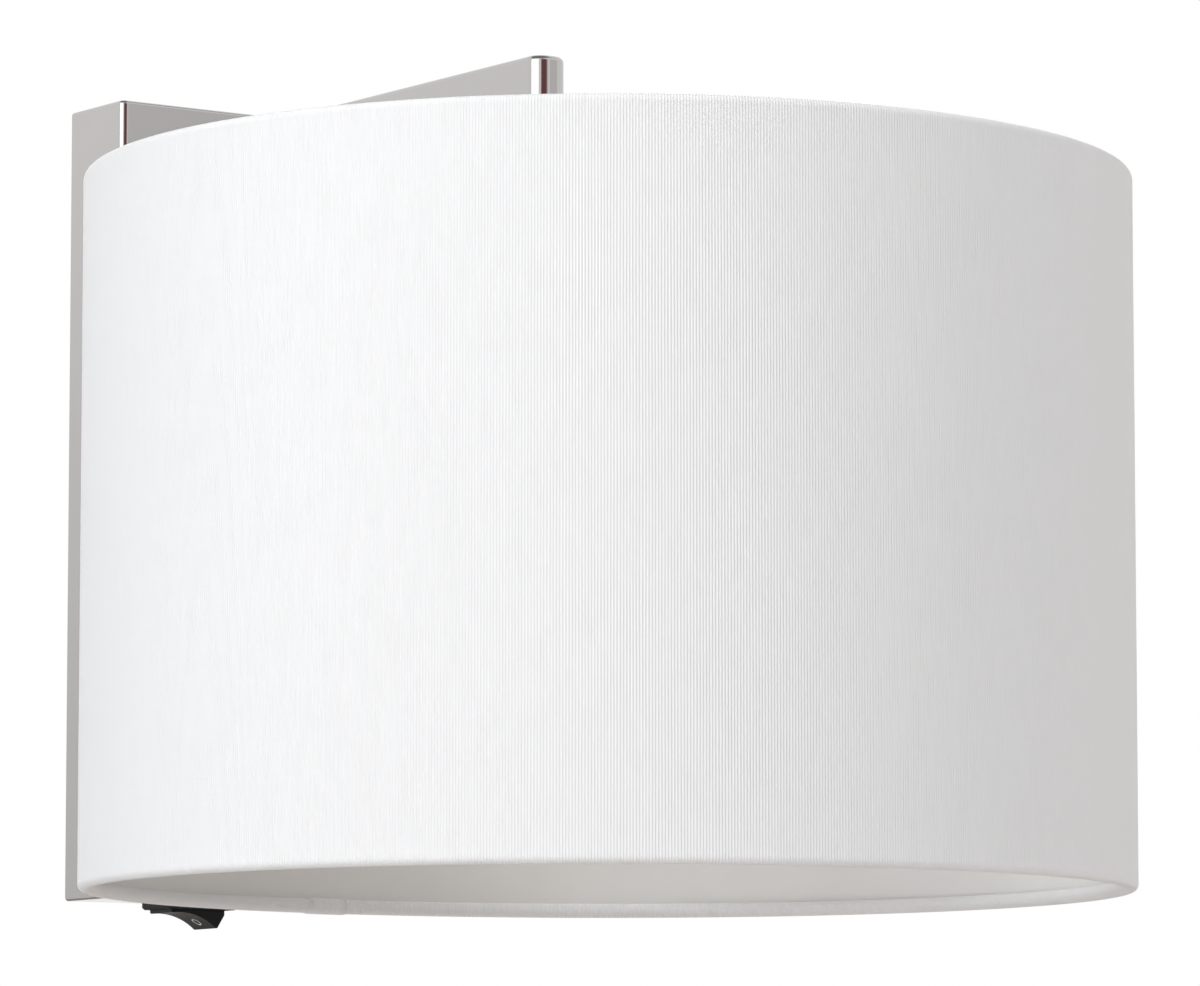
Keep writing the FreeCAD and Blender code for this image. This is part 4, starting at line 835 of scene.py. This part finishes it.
# ---- stage ---------------------------------------------------------------------------------------
def round_the_light(azimuth, height, distance):
    """A place at a distance from the shade's middle. The azimuth runs to the right from its front."""
    turn = math.radians(azimuth)
    rise = math.radians(height)
    level = Vector((math.sin(turn), -math.cos(turn), 0)) * math.cos(rise)
    return SHADE_AXIS + distance * (level + Vector((0, 0, math.sin(rise))))


def soft_lamp(name, azimuth, height, power, colour):
    light = bpy.data.lights.new(name, "AREA")
    light.shape = "SQUARE"
    light.size = LAMP_SIDE
    light.energy = power
    light.color = colour
    lamp = bpy.data.objects.new(name, light)
    lamp.location = round_the_light(azimuth, height, LAMP_DISTANCE)
    lamp.rotation_euler = (SHADE_AXIS - lamp.location).to_track_quat("-Z", "Y").to_euler()
    lamp.visible_glossy = False
    lamp.visible_camera = False
    bpy.context.scene.collection.objects.link(lamp)


def card_finish(name, first, second, start, end, axis=0):
    """A glow that goes from the first colour to the second between two places on a card, in metres."""
    made, tree, shader = new_material(name)
    where = add(tree, "ShaderNodeTexCoord")
    split = add(tree, "ShaderNodeSeparateXYZ")
    ramp = add(tree, "ShaderNodeMapRange", interpolation_type="SMOOTHSTEP")
    ramp.inputs["From Min"].default_value = start
    ramp.inputs["From Max"].default_value = end
    tint = add(tree, "ShaderNodeMix", data_type="RGBA")
    tint.inputs[MIX_FIRST].default_value = (*first, 1)
    tint.inputs[MIX_SECOND].default_value = (*second, 1)
    shader.inputs["Base Color"].default_value = (0, 0, 0, 1)
    shader.inputs["Specular IOR Level"].default_value = 0
    shader.inputs["Emission Strength"].default_value = 1
    join(
        tree,
        (where.outputs["Object"], split.inputs[0]),
        (split.outputs[axis], ramp.inputs["Value"]),
        (ramp.outputs["Result"], tint.inputs[MIX_SHARE]),
        (tint.outputs[MIX_RESULT], shader.inputs["Emission Color"]),
    )
    return made


def plain_object(name, bm, material):
    """An object of the stage, not yet linked to the scene."""
    mesh = bpy.data.meshes.new(name)
    bm.to_mesh(mesh)
    bm.free()
    mesh.materials.append(material)
    return bpy.data.objects.new(name, mesh)


def mirror_card(name, material, azimuth, height, distance, width, tall):
    """A card round the light that only the polished metal sees; its X runs to the right for the light."""
    place = round_the_light(azimuth, height, distance)
    turn = (SHADE_AXIS - place).to_track_quat("Z", "Y")
    bm = bmesh.new()
    bmesh.ops.create_grid(bm, x_segments=1, y_segments=1, size=0.5)
    bmesh.ops.scale(bm, verts=bm.verts, vec=(-width, tall, 1))
    card = plain_object(name, bm, material)
    card.location = place
    card.rotation_euler = turn.to_euler()
    card.visible_camera = False
    card.visible_diffuse = False
    card.visible_shadow = False
    card.visible_transmission = False
    bpy.context.scene.collection.objects.link(card)


def stage_floor(material, height):
    bm = bmesh.new()
    bmesh.ops.create_grid(bm, x_segments=1, y_segments=1, size=FLOOR_REACH)
    bmesh.ops.transform(bm, matrix=Matrix.Translation((0, 0, height)), verts=bm.verts)
    plane = plain_object("floor", bm, material)
    bpy.context.scene.collection.objects.link(plane)


class WALLLIGHT_OT_stage(bpy.types.Operator):
    """Sets the pale floor, the white surroundings, the reflection cards, the soft lamps and the camera"""

    bl_idname = "wall_light.stage"
    bl_label = "Stage"

    def execute(self, context):
        scene = context.scene
        settings = scene.wall_light_stage
        scene.view_settings.view_transform = "Standard"

        world = bpy.data.worlds.new("studio")
        world.use_nodes = True
        tree = world.node_tree
        tree.nodes.clear()
        path = add(tree, "ShaderNodeLightPath")
        seen = calc(tree, "MAXIMUM", path.outputs["Is Camera Ray"], path.outputs["Is Glossy Ray"])
        seen = calc(tree, "MAXIMUM", seen, path.outputs["Is Transmission Ray"])
        room = add(tree, "ShaderNodeBackground")
        room.inputs["Color"].default_value = (1, 0.985, 0.975, 1)
        room.inputs["Strength"].default_value = settings.room_light
        white = add(tree, "ShaderNodeBackground")
        white.inputs["Color"].default_value = (1, 1, 1, 1)
        mix = add(tree, "ShaderNodeMixShader")
        out = add(tree, "ShaderNodeOutputWorld")
        join(
            tree, (seen, mix.inputs[0]), (room.outputs[0], mix.inputs[1]), (white.outputs[0], mix.inputs[2]),
            (mix.outputs[0], out.inputs["Surface"]),
        )
        scene.world = world

        pale, tree, shader = new_material("pale_floor")
        shader.inputs["Base Color"].default_value = (0.86, 0.80, 0.755, 1)
        shader.inputs["Roughness"].default_value = 0.9
        path = add(tree, "ShaderNodeLightPath")
        glow = add(tree, "ShaderNodeEmission")
        mix = add(tree, "ShaderNodeMixShader")
        share = calc(tree, "MULTIPLY", path.outputs["Is Camera Ray"], FLOOR_GLOW)
        join(
            tree,
            (share, mix.inputs[0]),
            (shader.outputs[0], mix.inputs[1]),
            (glow.outputs[0], mix.inputs[2]),
            (mix.outputs[0], tree.nodes["Material Output"].inputs["Surface"]),
        )
        stage_floor(pale, settings.floor_height)

        window = card_finish("window_card", (1.2, 1.1, 1.0), (2.3, 2.3, 2.3), -1.0, -0.7)
        dusk = card_finish("dusk_card", (0.9, 0.86, 0.85), (0.2, 0.09, 0.09), -0.95, -0.35)
        side = card_finish("side_card", (0.8, 0.79, 0.8), (1.03, 1.03, 1.03), -0.05, 0.5, axis=1)
        grey = card_finish("grey_card", (0.78, 0.77, 0.78), (0.78, 0.77, 0.78), -1, 1)
        ceiling = card_finish("ceiling_card", (0.3, 0.28, 0.28), (0.3, 0.28, 0.28), -1, 1)
        mirror_card("side_card", side, -145, 0, 2.0, 1.6, 3.0)
        mirror_card("window_card", window, -74, 5, 2.0, 2.04, 2.4)
        mirror_card("dusk_card", dusk, -8, 5, 2.4, 2.2, 2.4)
        mirror_card("grey_card", grey, 35, 6, 2.2, 0.6, 1.6)
        mirror_card("ceiling_card", ceiling, -60, 80, 1.9, 2.6, 2.6)

        for name, (azimuth, height, colour) in LAMPS.items():
            soft_lamp(f"{name}_lamp", azimuth, height, getattr(settings, f"{name}_power"), colour)

        lens = bpy.data.cameras.new("camera")
        lens.lens = settings.lens
        lens.sensor_width = SENSOR_WIDTH
        lens.sensor_fit = "HORIZONTAL"
        lens.clip_start = CLIP_NEAR
        lens.clip_end = CLIP_FAR
        camera = bpy.data.objects.new("camera", lens)
        camera.location = settings.camera_place
        camera.rotation_euler = (math.pi / 2 + settings.pitch, 0, -settings.yaw)
        scene.collection.objects.link(camera)
        scene.camera = camera
        return {"FINISHED"}


# ---- panel and start -----------------------------------------------------------------------------
OPERATORS = (
    WALLLIGHT_OT_stage,
    WALLLIGHT_OT_shade_cloth,
    WALLLIGHT_OT_shade_inside,
    WALLLIGHT_OT_metalwork,
    WALLLIGHT_OT_fittings,
    WALLLIGHT_OT_leads,
    WALLLIGHT_OT_switch,
    WALLLIGHT_OT_bulb,
)


class WALLLIGHT_PT_panel(bpy.types.Panel):
    bl_idname = "WALLLIGHT_PT_panel"
    bl_label = "Wall light"
    bl_space_type = "VIEW_3D"
    bl_region_type = "UI"
    bl_category = "Wall light"

    def draw(self, context):
        for settings in (
            context.scene.wall_light_shade, context.scene.wall_light_metal,
            context.scene.wall_light_switch, context.scene.wall_light_stage,
        ):
            box = self.layout.box()
            for name in settings.__annotations__:
                box.prop(settings, name)
        for operator in OPERATORS:
            self.layout.operator(operator.bl_idname)


SETTINGS = {
    "wall_light_shade": ShadeSettings,
    "wall_light_metal": MetalSettings,
    "wall_light_switch": SwitchSettings,
    "wall_light_stage": StageSettings,
}


def register():
    for kind in (*SETTINGS.values(), *OPERATORS, WALLLIGHT_PT_panel):
        bpy.utils.register_class(kind)
    for name, kind in SETTINGS.items():
        setattr(bpy.types.Scene, name, PointerProperty(type=kind))


def unregister():
    for name in SETTINGS:
        delattr(bpy.types.Scene, name)
    for kind in reversed((*SETTINGS.values(), *OPERATORS, WALLLIGHT_PT_panel)):
        bpy.utils.unregister_class(kind)


def main():
    register()
    for operator in OPERATORS:
        group, name = operator.bl_idname.split(".")
        getattr(getattr(bpy.ops, group), name)()


if __name__ == "__main__":
    main()
